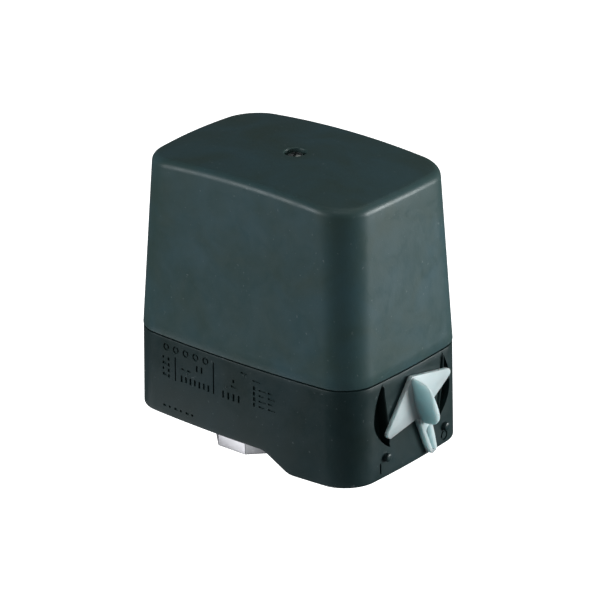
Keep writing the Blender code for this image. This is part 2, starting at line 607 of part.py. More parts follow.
    # terminal block
    blk = box("terminal_block", BLK_X - BLK_HX, BLK_X + BLK_HX, -BLK_HY, BLK_HY, BLK_Z0, BLK_Z1)
    for y in (-8.0, 8.0):
        add(blk, box("barrier", BLK_X - BLK_HX, BLK_X - 5.5, y - 0.7, y + 0.7, BLK_Z1 - 1, BLK_Z1 + 11.0),
            box("barrier", BLK_X + 5.5, BLK_X + BLK_HX, y - 0.7, y + 0.7, BLK_Z1 - 1, BLK_Z1 + 11.0))
    cut(blk, box("slot", BLK_X - 3.0, BLK_X + 3.0, -5.6, 5.6, 50, 75))
    for y in (-9.5, 9.5):
        cut(blk, rod("guide", 1.9, 50.0, 62.5, o=(53.0, y, 0), n=12))
    for py in POLES:
        for s in (-1, 1):
            cut(blk, rod("thread", 1.8, 60.0, 80.0, o=(BLK_X + s * TERMINAL_DX, py, 0), n=10))
    for x, y in ((BLK_X - 12, -24.0), (BLK_X + 12, 24.0)):
        cut(blk, rod("hole", 1.7, 50, 80, o=(x, y, 0), n=12))
    keep(blk, "root", (0.06, 0.06, 0.06), 0.5, 0.0)
    for k, (x, y) in enumerate(((BLK_X - 12, -24.0), (BLK_X + 12, 24.0)), 1):
        keep(screw("block_screw_%d" % k, x, y, BLK_Z1 + GAP, 5.4, 2.2, 2.9, 20.0, n=12), "root", (0.6, 0.6, 0.6), 0.3, 1.0)
    k = 0
    z0 = BLK_Z1 + GAP
    for py in POLES:
        for s in (-1, 1):
            k += 1
            xa, xb = sorted((BLK_X + s * 7.5, BLK_X + s * 16.8))
            fc = box("fixed_contact_%d" % k, xa, xb, py - 4.0, py + 4.0, z0, z0 + 1.5)
            add(fc, rod("pip", 2.0, z0 + 1.0, z0 + 2.7, o=(BLK_X + s * CONTACT_DX, py, 0), n=12))
            cut(fc, rod("hole", 1.75, 60, 80, o=(BLK_X + s * TERMINAL_DX, py, 0), n=10))
            keep(fc, "root", (0.70, 0.55, 0.28), 0.3, 1.0)
            keep(screw("terminal_screw_%d" % k, BLK_X + s * TERMINAL_DX, py, z0 + 1.8, 4.8, 2.4, 3.1, 9.0, n=10),
                 "root", (0.62, 0.62, 0.60), 0.3, 1.0)

    # lifting yoke, contact carrier, bridges and their springs
    zy = KNOB_Z + CAM_E * math.sin(CAM_ANGLE) + CAM_R + GAP
    yk = box("lifting_yoke", 48.3, 56.0, -12.0, 12.0, zy, zy + 1.7)
    for y in (-9.5, 9.5):
        add(yk, rod("guide_pin", 1.5, 46.0, 60.0, o=(53.0, y, 0), n=12))
    keep(yk, "yoke", (0.60, 0.58, 0.52), 0.35, 1.0)
    zpip = z0 + 2.7 + OPEN_GAP
    zbr = zpip + 1.0
    cz0, cz1 = zbr - 2.5, zbr + 11.5
    ca = box("contact_carrier", BLK_X - 3.0, BLK_X + 3.0, -26.0, 26.0, cz0, cz1)
    add(ca, box("stem", BLK_X - 2.5, BLK_X + 2.5, -5.0, 5.0, LEVER_Z1 + OPEN_GAP, cz0 + 1.0),
        box("shelf", BLK_X + 2.0, 56.0, -6.0, 6.0, 47.3, 49.3))
    k = 0
    for py in POLES:
        k += 1
        cut(ca, box("window", BLK_X - 6, BLK_X + 6, py - 4.2, py + 4.2, zbr - GAP, zbr + 9.3))
        b = box("contact_bridge_%d" % k, BLK_X - 12.0, BLK_X + 12.0, py - 3.0, py + 3.0, zbr, zbr + 1.2)
        for s in (-1, 1):
            add(b, rod("pip", 1.9, zpip, zbr + 0.5, o=(BLK_X + s * CONTACT_DX, py, 0), n=12))
        keep(b, "carrier", (0.72, 0.42, 0.26), 0.3, 1.0)
        keep(coil("bridge_spring_%d" % k, 2.1, 0.8, zbr + 1.5, zbr + 9.0, 4.0, o=(BLK_X, py), per=8, sides=4), "carrier",
             (0.5, 0.5, 0.5), 0.3, 1.0)
    keep(ca, "carrier", (0.70, 0.68, 0.60), 0.5, 0.0)

    # rubber cable entry seals in the far end wall
    for nm, y in (("cable_seal_front", -13.2), ("cable_seal_rear", 13.2)):
        prof = [(0, -37.4), (4.6, -37.4), (5.6, -36.6), (8.4, -36.1), (11.0, -35.8), (11.0, -34.85), (9.6, -34.85), (9.6, -30.3),
                (11.0, -30.3), (10.4, -29.0), (8.2, -29.0), (7.6, -34.6), (4.4, -36.2), (0, -36.2)]
        keep(turned(nm, prof, "X", (0, y, 33.0), n=18), "root", (0.02, 0.02, 0.02), 0.75, 0.0)

    # each moving body gets an empty on its joint, and its pieces hang on it
    pivots = {"cover": (XC, 0, Z_SEAM), "cover_screw": (XC, 0, 118.5), "knob": (X_FACE, KNOB_Y, KNOB_Z),
              "piston": (0, 0, 24.7), "lever": (PIVOT_X, 0, PIVOT_Z), "range_seat": (0, 0, 39.8),
              "range_nut": (0, 0, 73.2), "range_spindle": (0, 0, 86.8), "diff_nut": (DIFF_X, 0, 69.0),
              "diff_screw": (DIFF_X, 0, 86.8), "yoke": (53.0, 0, 45.3), "carrier": (BLK_X, 0, 47.3)}
    empties = {}
    for body, p in pivots.items():
        e = bpy.data.objects.new("pivot_" + body, None)
        e.location = Vector(p) * MM
        COL.objects.link(e)
        empties[body] = e
    for nm, (ob, body, colour, rough, metal) in parts.items():
        mat = bpy.data.materials.new(nm)
        mat.use_nodes = True
        sh_ = mat.node_tree.nodes["Principled BSDF"]
        sh_.inputs["Base Color"].default_value = (*colour, 1.0)
        sh_.inputs["Roughness"].default_value = rough
        sh_.inputs["Metallic"].default_value = metal
        ob.data.materials.clear()
        ob.data.materials.append(mat)
        ob.data.shade_smooth()
        ob.data.set_sharp_from_angle(angle=math.radians(32))
        if body in pivots:
            p = Vector(pivots[body]) * MM
            for v in ob.data.vertices:
                v.co -= p
            ob.parent = empties[body]


build()
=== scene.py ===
import json
import math
import bpy
import bmesh
import numpy as np
from mathutils import Vector, Matrix


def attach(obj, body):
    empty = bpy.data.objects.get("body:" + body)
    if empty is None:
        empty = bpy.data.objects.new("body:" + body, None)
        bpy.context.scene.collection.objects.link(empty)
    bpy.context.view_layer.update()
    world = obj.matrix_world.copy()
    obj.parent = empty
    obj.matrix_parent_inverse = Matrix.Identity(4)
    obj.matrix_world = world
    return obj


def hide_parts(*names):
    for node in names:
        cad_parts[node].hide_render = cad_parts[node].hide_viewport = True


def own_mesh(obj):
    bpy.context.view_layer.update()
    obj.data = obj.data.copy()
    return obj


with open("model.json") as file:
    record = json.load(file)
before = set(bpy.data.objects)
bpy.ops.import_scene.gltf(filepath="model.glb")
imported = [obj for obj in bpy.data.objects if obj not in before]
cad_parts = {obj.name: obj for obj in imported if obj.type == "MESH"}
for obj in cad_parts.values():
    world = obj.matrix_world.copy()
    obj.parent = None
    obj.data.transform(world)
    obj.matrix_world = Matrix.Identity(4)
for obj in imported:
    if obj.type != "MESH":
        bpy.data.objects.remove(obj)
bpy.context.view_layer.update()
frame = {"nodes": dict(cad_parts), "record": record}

MM = 0.001
COL = bpy.context.scene.collection

XC, Z_SEAM = 19.6, 49.7
Z_FLOOR, Z_NOSE, X_RAMP0, X_RAMP1 = 17.64, 11.04, 32.7, 44.3
HALF_L, HALF_W = 54.0, 36.6
BOW_END, BOW_SIDE, CORNER_R = 1.66, 2.757, 11.7
HOOD_H, TAPER_L, TAPER_W = 71.7, 3.33, 4.02
CROWN_L, CROWN_W = 3.59, 1.16
KNOB_Y, KNOB_Z, X_FACE = 1.3, 37.2, 73.6
TILT = math.radians(20.0)


# ------------------------------------------------------------------ meshes
def make(name, verts, faces, angle=30.0):
    me = bpy.data.meshes.new(name)
    me.from_pydata((np.asarray(verts, float) * MM).tolist(), [], faces)
    me.update()
    bm = bmesh.new()
    bm.from_mesh(me)
    bmesh.ops.recalc_face_normals(bm, faces=bm.faces)
    bm.to_mesh(me)
    bm.free()
    smooth(me, angle)
    ob = bpy.data.objects.new(name, me)
    COL.objects.link(ob)
    return ob


def smooth(me, angle):
    me.shade_smooth()
    me.set_sharp_from_angle(angle=math.radians(angle))


def settle(ob, angle=None):
    """Applies the object's modifiers to its mesh."""
    dg = bpy.context.evaluated_depsgraph_get()
    dg.update()
    me = bpy.data.meshes.new_from_object(ob.evaluated_get(dg))
    ob.modifiers.clear()
    old = ob.data
    ob.data = me
    bpy.data.meshes.remove(old)
    if angle:
        smooth(ob.data, angle)
    return ob


def combine(ob, tool, op='DIFFERENCE'):
    m = ob.modifiers.new("b", 'BOOLEAN')
    m.operation, m.solver, m.object = op, 'EXACT', tool
    settle(ob)
    bpy.data.objects.remove(tool, do_unlink=True)
    return ob


def cut(ob, *tools):
    for t in tools:
        combine(ob, t, 'DIFFERENCE')
    return ob


def add(ob, *tools):
    for t in tools:
        combine(ob, t, 'UNION')
    return ob


def bevel(ob, width, segments=2, angle=35.0, shade=40.0):
    m = ob.modifiers.new("bevel", 'BEVEL')
    m.width, m.segments = width * MM, segments
    m.limit_method, m.angle_limit = 'ANGLE', math.radians(angle)
    m.harden_normals = False
    settle(ob, shade)
    return ob


def box(name, x0, x1, y0, y1, z0, z1):
    v = [(x, y, z) for z in (z0, z1) for y in (y0, y1) for x in (x0, x1)]
    f = [(0, 2, 3, 1), (4, 5, 7, 6), (0, 1, 5, 4), (2, 6, 7, 3), (0, 4, 6, 2), (1, 3, 7, 5)]
    return make(name, v, f)


def to_axis(p, q, h, axis, o):
    if axis == 'Z':
        return (o[0] + p, o[1] + q, o[2] + h)
    if axis == 'X':
        return (o[0] + h, o[1] + p, o[2] + q)
    return (o[0] + q, o[1] + h, o[2] + p)


def prism(name, pts, h0, h1, axis='Z', o=(0, 0, 0)):
    n = len(pts)
    v = [to_axis(p, q, h, axis, o) for h in (h0, h1) for p, q in pts]
    f = [tuple(range(n)), tuple(range(2 * n - 1, n - 1, -1))]
    f += [(i, (i + 1) % n, n + (i + 1) % n, n + i) for i in range(n)]
    return make(name, v, f)


def circle(r, n, cx=0.0, cy=0.0, a0=0.0):
    return [(cx + r * math.cos(a0 + 2 * math.pi * i / n),
             cy + r * math.sin(a0 + 2 * math.pi * i / n)) for i in range(n)]


def rod(name, r, h0, h1, axis='Z', o=(0, 0, 0), n=48):
    return prism(name, circle(r, n), h0, h1, axis, o)


def turned(name, prof, axis='Z', o=(0, 0, 0), n=48, ring=False, angle=30.0):
    v, rows = [], []
    for r, h in prof:
        if r < 1e-6:
            rows.append([len(v)])
            v.append(to_axis(0, 0, h, axis, o))
        else:
            rows.append(list(range(len(v), len(v) + n)))
            v += [to_axis(p, q, h, axis, o) for p, q in circle(r, n)]
    f = []
    m = len(rows)
    for k in range(m if ring else m - 1):
        a, b = rows[k], rows[(k + 1) % m]
        for i in range(n):
            j = (i + 1) % n
            if len(a) == 1:
                f.append((a[0], b[j], b[i]))
            elif len(b) == 1:
                f.append((a[i], a[j], b[0]))
            else:
                f.append((a[i], a[j], b[j], b[i]))
    return make(name, v, f, angle)


# ------------------------------------------------------------ casing outline
def edge_value(x, y, A, B, sx, sy, R):
    re = (B * B + sx * sx) / (2 * sx)
    rs = (A * A + sy * sy) / (2 * sy)
    d1 = np.hypot(np.abs(x) - (A - re), y) - re
    d2 = np.hypot(x, np.abs(y) - (B - rs)) - rs
    both = (d1 > -R) & (d2 > -R)
    return np.where(both, np.hypot(d1 + R, d2 + R) - R, np.maximum(d1, d2))


def radii(dirs, A, B, sx, sy, R):
    c, s = np.cos(dirs), np.sin(dirs)
    lo, hi = np.zeros(len(dirs)), np.full(len(dirs), 90.0)
    for _ in range(40):
        m = (lo + hi) / 2
        inside = edge_value(m * c, m * s, A, B, sx, sy, R) < 0
        lo, hi = np.where(inside, m, lo), np.where(inside, hi, m)
    return lo


def make_dirs(step):
    a = np.linspace(0, math.pi, 6001)
    r = radii(a, HALF_L, HALF_W, BOW_END, BOW_SIDE, CORNER_R)
    x, y = r * np.cos(a), r * np.sin(a)
    ds = np.hypot(np.diff(x), np.diff(y))
    # finer where the outline turns
    t = np.unwrap(np.arctan2(np.diff(y), np.diff(x)))
    turn = np.abs(np.gradient(t)) / ds
    w = np.cumsum(ds * (1.0 + 14.0 * np.clip(turn, 0, 0.09)))
    w = np.concatenate([[0], w])
    n = max(int(w[-1] / step), 8)
    return np.interp(np.linspace(0, w[-1], n + 1), w, a)


DIRS = make_dirs(1.25)
NH = len(DIRS)
NR = 2 * NH - 2
FULL = np.concatenate([DIRS, 2 * math.pi - DIRS[1:-1][::-1]])


def outline(s=0.0, inset=0.0):
    A = HALF_L - TAPER_L * s - inset
    B = HALF_W - TAPER_W * s - inset
    r = radii(DIRS, A, B, BOW_END + 0.60 * s, BOW_SIDE - 2.05 * s, max(CORNER_R + s - inset, 1.2))
    x, y = XC + r * np.cos(DIRS), r * np.sin(DIRS)
    y[0] = y[-1] = 0.0
    return np.concatenate([np.stack([x, y], 1), np.stack([x[1:-1], -y[1:-1]], 1)[::-1]])


def ring3(xy, z):
    z = np.full(len(xy), z) if np.isscalar(z) else z
    return np.column_stack([xy, z])


def crown(xy):
    return Z_SEAM + HOOD_H - CROWN_L * ((xy[:, 0] - XC) / HALF_L) ** 2 - CROWN_W * (xy[:, 1] / HALF_W) ** 2


def centre_circle(r):
    return np.stack([XC + r * np.cos(FULL), r * np.sin(FULL)], 1)


def skin(name, rings, closed, caps=(), angle=30.0):
    v = np.concatenate(rings)
    m = len(rings)
    f = []
    i = np.arange(NR)
    j = (i + 1) % NR
    for k in range(m if closed else m - 1):
        k2 = (k + 1) % m
        f += np.column_stack([k * NR + i, k * NR + j, k2 * NR + j, k2 * NR + i]).tolist()
    for k in caps:
        for a in range(NH - 1):
            q = [a, a + 1, (NR - a - 1) % NR, (NR - a) % NR]
            q = [b for n_, b in enumerate(q) if b not in q[:n_]]
            f.append([k * NR + b for b in q])
    return make(name, v, f, angle)


# ------------------------------------------------------------------ hood
def build_hood():
    zb = Z_SEAM + 0.15
    rings = []
    for inset, dz in ((1.3, 0.0), (1.25, 0.3), (0.3, 0.32), (0.1, 0.4), (0.0, 0.62)):
        rings.append(ring3(outline(0.0, inset), zb + dz))
    er = 3.0
    levels = 16
    for k in range(1, levels):
        s = k / levels
        o = outline(s)
        ztop = crown(outline(1.0)) - er
        rings.append(ring3(o, zb + 0.62 + (ztop - zb - 0.62) * s))
    for a in np.radians(np.linspace(0, 90, 9)):
        o = outline(1.0, er * (1 - math.cos(a)))
        rings.append(ring3(o, crown(o) - er * (1 - math.sin(a))))
    last = outline(1.0, er)
    cc = centre_circle(4.75)
    for w in (0.95, 0.86, 0.74, 0.6, 0.46, 0.33, 0.21, 0.12, 0.05, 0.0):
        xy = cc + (last - cc) * w
        rings.append(ring3(xy, crown(xy)))
    zt = Z_SEAM + HOOD_H
    for r, z in ((4.5, zt - 0.07), (4.3, zt - 0.28), (4.22, zt - 0.55), (4.2, 119.0), (4.2, 118.45), (4.0, 118.2), (2.6, 118.2),
                 (2.3, 117.9), (2.3, 112.7), (2.6, 112.3), (5.6, 112.3), (6.0, 112.7), (6.1, 118.2)):
        rings.append(ring3(centre_circle(r), z))
    inner = outline(1.0, 2.3 + 2.4)
    cc = centre_circle(6.6)
    for w in (0.0, 0.3, 0.7, 1.0):
        xy = cc + (inner - cc) * w
        rings.append(ring3(xy, crown(xy) - 2.6))
    for a in np.radians((60.0, 30.0, 0.0)):
        o = outline(0.985, 2.3 + 2.0 * (1 - math.cos(a)))
        rings.append(ring3(o, crown(o) - 2.6 - 2.0 * (1 - math.sin(a))))
    for s in (0.66, 0.33, 0.0):
        o = outline(s, 2.3)
        rings.append(ring3(o, zb + (crown(outline(1.0, 2.3)) - 4.6 - zb) * s + (0.3 if s == 0 else 0)))
    rings.append(ring3(outline(0.0, 2.0), zb))
    return skin("hood_shell", rings, True, angle=40.0)


# ------------------------------------------------------------------ base
def under(x):
    """Underside height with its two bends rounded."""
    def soft_pos(u, r):
        return np.where(u < -r, 0.0, np.where(u > r, u, (u + r) ** 2 / (4 * r)))
    k = (Z_NOSE - Z_FLOOR) / (X_RAMP1 - X_RAMP0)
    x = np.asarray(x, float)
    return Z_FLOOR + k * (soft_pos(x - X_RAMP0, 1.6) - soft_pos(x - X_RAMP1, 1.6))


def curve_through(pts, n):
    """n points on a smooth curve through the given ones."""
    p = np.asarray(pts, float)
    p = np.vstack([2 * p[0] - p[1], p, 2 * p[-1] - p[-2]])
    out = []
    m = len(p) - 3
    for u in np.linspace(0, m - 1e-9, n):
        k = int(u)
        t = u - k
        a, b, c, d = p[k:k + 4]
        out.append(0.5 * (2 * b + (c - a) * t + (2 * a - 5 * b + 4 * c - d) * t * t + (3 * b - a - 3 * c + d) * t ** 3))
    return np.array(out)


Z_POCKET = Z_SEAM - 0.8 - KNOB_Z
SICKLE_OUT = [(17.9, Z_POCKET), (19.8, 8.6), (21.5, 5.0), (22.6, 1.0), (22.9, -2.8), (22.1, -6.2), (20.5, -9.0), (18.3, -11.6),
              (16.1, -13.6), (13.9, -15.0)]
SICKLE_IN = [(13.9, -15.0), (14.9, -11.6), (15.6, -7.6), (16.3, -3.4), (16.9, 0.2), (17.5, 4.0), (17.9, 8.0), (17.9, Z_POCKET)]


def sickle(side, x0, x1):
    outer = [(side * y, z) for y, z in curve_through(SICKLE_OUT, 36)]
    inner = [(side * y, z) for y, z in curve_through(SICKLE_IN, 32)[1:-1]]
    return prism("pocket", outer + inner, x0, x1, 'X', (0, KNOB_Y, KNOB_Z))


def build_lips():
    """Thin rounded bead along the inner edge of each pocket."""
    out = []
    for nm, side in (("pocket_bead_left", -1), ("pocket_bead_right", 1)):
        line = curve_through(SICKLE_IN, 40)[3:-1]
        sec = [(-0.22, -0.25), (-0.22, 0.18), (-0.12, 0.36), (0.05, 0.42), (0.2, 0.34), (0.28, 0.15), (0.28, -0.25)]
        v, f = [], []
        for k, (y, z) in enumerate(line):
            a, b = line[max(k - 1, 0)], line[min(k + 1, len(line) - 1)]
            t = (b - a) / np.linalg.norm(b - a)
            w = 0.7 + 1.1 * math.sin(math.pi * min(k + 1, len(line) - k) / len(line)) if 0 < k < len(line) - 1 else 0.3
            for q, h in sec:
                v.append((X_FACE - 0.05 + h * w, KNOB_Y + side * (y - t[1] * (q + 0.3) * w), KNOB_Z + z + t[0] * (q + 0.3) * w))
        m = len(sec)
        for k in range(len(line) - 1):
            for i in range(m):
                j = (i + 1) % m
                f.append((k * m + i, k * m + j, (k + 1) * m + j, (k + 1) * m + i))
        f.append(tuple(range(m)))
        f.append(tuple(range(len(v) - 1, len(v) - 1 - m, -1)))
        out.append(make(nm, v, f, 60))
    return out


def side_y(x, z):
    """The long side of the base at (x, z), on its -Y side."""
    fl = 1 + 0.016 * (Z_SEAM - z) / HALF_L
    o = outline(0.0, 0.13)
    o = o[o[:, 1] < -20]
    o = o[np.argsort(o[:, 0])]
    return fl * float(np.interp(XC + (x - XC) / fl, o[:, 0], o[:, 1]))


def panel_cutter():
    """Plain moulded pattern of rings, rules and short bars, without lettering."""
    v, f = [], []
    deep, out = 0.55, 1.0

    def bar(x0, x1, z0, z1):
        k = len(v)
        for y in (-out, deep):
            for x, z in ((x0, z0), (x1, z0), (x1, z1), (x0, z1)):
                v.append((x, side_y(x, z) + y, z))
        f.extend([(k, k + 1, k + 2, k + 3), (k + 7, k + 6, k + 5, k + 4)])
        f.extend([(k + i, k + 4 + i, k + 4 + (i + 1) % 4, k + (i + 1) % 4) for i in range(4)])

    def ring(x, z, r0, r1):
        n, k = 20, len(v)
        for y, r in ((-out, r0), (-out, r1), (deep, r1), (deep, r0)):
            for i in range(n):
                a = 2 * math.pi * i / n
                px, pz = x + r * math.cos(a), z + r * math.sin(a)
                v.append((px, side_y(px, pz) + y, pz))
        for c in range(4):
            d = (c + 1) % 4
            f.extend([(k + c * n + i, k + c * n + (i + 1) % n, k + d * n + (i + 1) % n, k + d * n + i) for i in range(n)])
    for x in (-14.6, -9.6, -4.6, 0.4, 5.4):
        ring(x, 46.0 - 0.0 * x, 0.85, 1.5)
    bar(-10.3, -9.7, 33.4, 43.0)
    bar(9.0, 9.6, 33.8, 46.6)
    for k in range(4):
        bar(-16.6, -15.8 + 1.2 * (k % 2), 41.0 - 2.3 * k, 42.1 - 2.3 * k)
        bar(-13.9, -12.9, 40.6 - 2.3 * k, 41.9 - 2.3 * k)
    for k in range(7):
        bar(-7.2 + 2.25 * k, -6.3 + 2.25 * k, 33.9 + 0.3 * (k % 2), 36.6)
    for k in range(2):
        bar(0.6 + 2.4 * k, 1.5 + 2.4 * k, 40.3, 42.8)
        bar(-6.8 + 3.0 * k, -5.2 + 3.0 * k, 39.0, 39.7)
    for k in range(4):
        bar(13.6 + 2.5 * k, 14.5 + 2.5 * k, 33.7, 36.6)
    bar(17.8, 20.4, 39.2, 39.9)
    bar(18.6, 19.5, 41.0, 42.4)
    bar(22.6, 25.6, 46.1, 46.7)
    bar(28.2, 31.8, 44.4, 45.0)
    for k in range(4):
        bar(28.4, 29.6 - 0.3 * (k % 2), 41.0 - 2.2 * k, 42.6 - 2.2 * k)
        bar(31.0, 34.4 - 0.8 * (k % 2), 41.2 - 2.2 * k, 41.9 - 2.2 * k)
        bar(35.4, 38.6 - 1.2 * ((k + 1) % 2), 41.2 - 2.2 * k, 41.9 - 2.2 * k)
    for k in range(6):
        bar(-16.6 + 2.9 * k, -15.0 + 2.9 * k - 0.6 * (k % 2), 21.3, 22.2)
    return make("panel", v, f)


def build_dots():
    out = []
    for nm, x, z in (("side_dot_1", 24.1, 45.6), ("side_dot_2", 15.5, 38.5), ("side_dot_3", -3.9, 37.9)):
        y = side_y(x, z)
        out.append(turned(nm, [(0, 0.6), (0.5, 0.6), (0.5, -0.05), (0.42, -0.14), (0.24, -0.2), (0, -0.22)], 'Y', (x, y, z), n=20))
    return out


def build_base():
    rings = []

    def ring(inset, z):
        xy = outline(0.0, inset)
        z = z(xy[:, 0]) if callable(z) else np.full(len(xy), z)
        fl = 1 + 0.016 * (Z_SEAM - z) / HALF_L
        return np.column_stack([XC + (xy[:, 0] - XC) * fl, xy[:, 1] * fl, z])
    i0, r = 0.13, 0.6
    for a in np.radians(np.linspace(0, 90, 6)):
        rings.append(ring(i0 + r * (1 - math.sin(a)), lambda x, a=a: under(x) + r * (1 - math.cos(a))))
    zt = Z_SEAM - 0.15
    nlev = 18
    for k in range(1, nlev):
        t = k / nlev
        rings.append(ring(i0, lambda x, t=t: (under(x) + r) * (1 - t) + (zt - 0.22) * t))
    for inset, z in ((0.0, zt - 0.22), (0.03, zt - 0.1), (0.1, zt - 0.03), (0.22, zt)):
        rings.append(ring(i0 + inset, z))
    for inset, z in ((4.0, zt), (4.2, zt + 0.2), (4.2, 52.2), (4.5, 52.5), (5.4, 52.5), (5.7, 52.2), (5.7, 46.6), (2.6, 44.0), (2.6, 30.0)):
        rings.append(ring(inset, z))
    rings.append(ring(2.6, lambda x: under(x) + 3.4))
    rings.append(ring(3.4, lambda x: under(x) + 2.6))
    m = len(rings)
    ob = skin("base_shell", rings, False, (0, m - 1), angle=35.0)
    pad = rod("pad", 25.5, 65.0, 71.4, 'X', (0, KNOB_Y, KNOB_Z), n=64)
    combine(pad, box("trim", 60, 80, -40, 40, 13.2, 47.5), 'INTERSECT')
    add(ob, pad)
    for x in (33.0, 57.0):
        for y in (-24.0, 24.0):
            add(ob, rod("column", 3.8, 14.0 if x > 50 else 18.5, 54.2, o=(x, y, 0), n=32))
    cut(ob, sickle(-1, 69.7, 80.0), sickle(1, 69.7, 80.0),
        rod("hub_hole", 6.1, 68.8, 80.0, 'X', (0, KNOB_Y, KNOB_Z), n=48),
        rod("shaft_hole", 3.4, 60.0, 70.0, 'X', (0, KNOB_Y, KNOB_Z), n=32),
        prism("port_hole", circle(32.6 / 2 / math.cos(math.pi / 8), 8, a0=math.pi / 8), 10.0, 21.0))
    for y in (-13.2, 13.2):
        cut(ob, rod("entry", 10.0, -40.0, -28.0, 'X', (0, y, 33.0), n=64))
    for y in (-21.5, 21.5):
        cut(ob, rod("hole", 2.2, 10.0, 24.0, o=(0, y, 0), n=24))
    for x, y in ((33.0, -24.0), (57.0, 24.0)):
        cut(ob, rod("pilot", 1.6, 40.0, 60.0, o=(x, y, 0), n=20))
    cut(ob, panel_cutter())
    # I and O marks
    cut(ob, box("mark_i", 72.95, 76.0, -18.65, -17.85, 13.2, 17.6))
    cut(ob, turned("mark_o", [(1.35, 72.75), (2.15, 72.75), (2.15, 76.0), (1.35, 76.0)], 'X', (0, 20.2, 14.7), n=36, ring=True))
    smooth(ob.data, 35)
    return ob


def build_pips():
    out = []
    for nm, y, z, x1 in (("pip_i", -15.0, 19.2, X_FACE + 1.88), ("pip_o", 20.5, 18.4, X_FACE + 1.58)):
        prof = [(0, 71.5), (1.7, 71.5), (1.66, x1 - 0.6), (1.52, x1 - 0.25), (1.2, x1 - 0.06), (0.7, x1), (0, x1)]
        out.append(turned(nm, prof, 'X', (0, y, z), n=32))
    return out


# ------------------------------------------------------------------ knob
def turn(s, a):
    c, q = math.cos(TILT), math.sin(TILT)
    return (s * c - a * q, s * q + a * c)


# the finger fin from its foot outwards: height, upper end, lower end, half width
FIN = np.array([(1.0, 10.4, -10.9, 2.6), (2.0, 10.4, -10.9, 2.5), (2.3, 10.35, -10.9, 2.35), (2.8, 10.25, -10.9, 2.2), (3.6, 10.05, -10.9, 2.08),
                (5.5, 9.65, -10.85, 1.9), (7.3, 9.05, -10.5, 1.7), (8.6, 8.3, -9.7, 1.5), (9.4, 7.2, -8.6, 1.35),
                (9.8, 6.0, -7.6, 1.15), (10.05, 4.0, -6.2, 0.9), (10.1, 2.6, -5.2, 0.55)])


def fin():
    h = np.concatenate([np.linspace(1.0, 8.4, 18), np.linspace(8.7, 10.1, 9)])
    k = np.interp(h, FIN[:, 0], np.arange(len(FIN)))
    rows = curve_through(FIN, 400)
    rows = rows[np.argsort(rows[:, 0])]
    v, f = [], []
    n = 28
    for x in h:
        a1, a0, w = (float(np.interp(x, rows[:, 0], rows[:, c])) for c in (1, 2, 3))
        # taper towards the point, blunt at the lower end
        for i in range(n):
            t = 2 * math.pi * i / n
            ca, sa = math.cos(t), math.sin(t)
            a = (a1 + a0) / 2 + (a1 - a0) / 2 * np.sign(ca) * abs(ca) ** (0.5 if ca < 0 else 0.9)
            u = (a - a0) / (a1 - a0)
            ww = w * (1.0 if u < 0.4 else 1.0 - 0.66 * ((u - 0.4) / 0.6) ** 1.25)
            v.append((X_FACE + x, ww * np.sign(sa) * abs(sa) ** 0.42, a))
    for r in range(len(h) - 1):
        for i in range(n):
            j = (i + 1) % n
            f.append((r * n + i, r * n + j, (r + 1) * n + j, (r + 1) * n + i))
    f.append(tuple(range(n)))
    f.append(tuple(range(len(v) - 1, len(v) - 1 - n, -1)))
    return make("fin", v, f, 50)


def lean(ob):
    """Turns an upright knob piece to the knob's place and angle."""
    c, q = math.cos(TILT), math.sin(TILT)
    co = np.array([v.co for v in ob.data.vertices])
    y, z = co[:, 1].copy(), co[:, 2].copy()
    co[:, 1] = y * c - z * q + KNOB_Y * MM
    co[:, 2] = y * q + z * c + KNOB_Z * MM
    ob.data.vertices.foreach_set("co", co.astype(np.float32).ravel())
    ob.data.update()
    return ob


def build_knob():
    right = [(0.0, 10.8), (18.5, -0.6), (19.4, -1.15), (19.8, -2.2), (19.6, -3.2), (18.8, -3.9), (3.3, -7.1), (3.1, -9.0)]
    pts = right + [(-s, a) for s, a in reversed(right[1:])]
    o = (0, 0, 0)
    ob = prism("knob_arrow", pts, X_FACE + 0.5, X_FACE + 2.2, 'X', o)
    rim = [(3.0, -8.0), (2.8, -15.0), (2.4, -20.7), (1.9, -25.4), (1.3, -26.15)]
    rim = rim + [(-s, a) for s, a in reversed(rim)]
    add(ob, prism("tail", rim, X_FACE + 0.45, X_FACE + 3.1, 'X', o))
    bevel(ob, 0.25, 3, angle=28.0, shade=50.0)
    # the hollow of the tail: steep on one side, sloped on the other, open at the tip
    top = [(1.5, -12.7), (-1.75, -14.5), (-0.95, -25.5), (0.8, -25.5)]
    low = [(1.15, -13.3), (0.1, -14.6), (0.0, -25.3), (0.6, -25.3)]
    v = [(X_FACE + 1.3, a, b) for a, b in low] + [(X_FACE + 3.5, a, b) for a, b in top]
    cut(ob, make("hollow", v, [(3, 2, 1, 0), (4, 5, 6, 7)] + [(i, (i + 1) % 4, (i + 1) % 4 + 4, i + 4) for i in range(4)]))
    smooth(ob.data, 50)
    hub = turned("knob_hub", [(3.15, 69.3), (5.5, 69.3), (5.7, 69.5), (5.7, X_FACE + 1.0), (4.0, X_FACE + 1.2), (3.15, 73.0)],
                 'X', o, n=64, ring=True)
    blade = fin()
    blade.name = "knob_fin"
    return [lean(ob), lean(hub), lean(blade)]


# ------------------------------------------------------------------ small parts
def soft_box(name, x0, x1, y0, y1, z0, z1, r=0.3, seg=3):
    return bevel(box(name, x0, x1, y0, y1, z0, z1), r, seg)


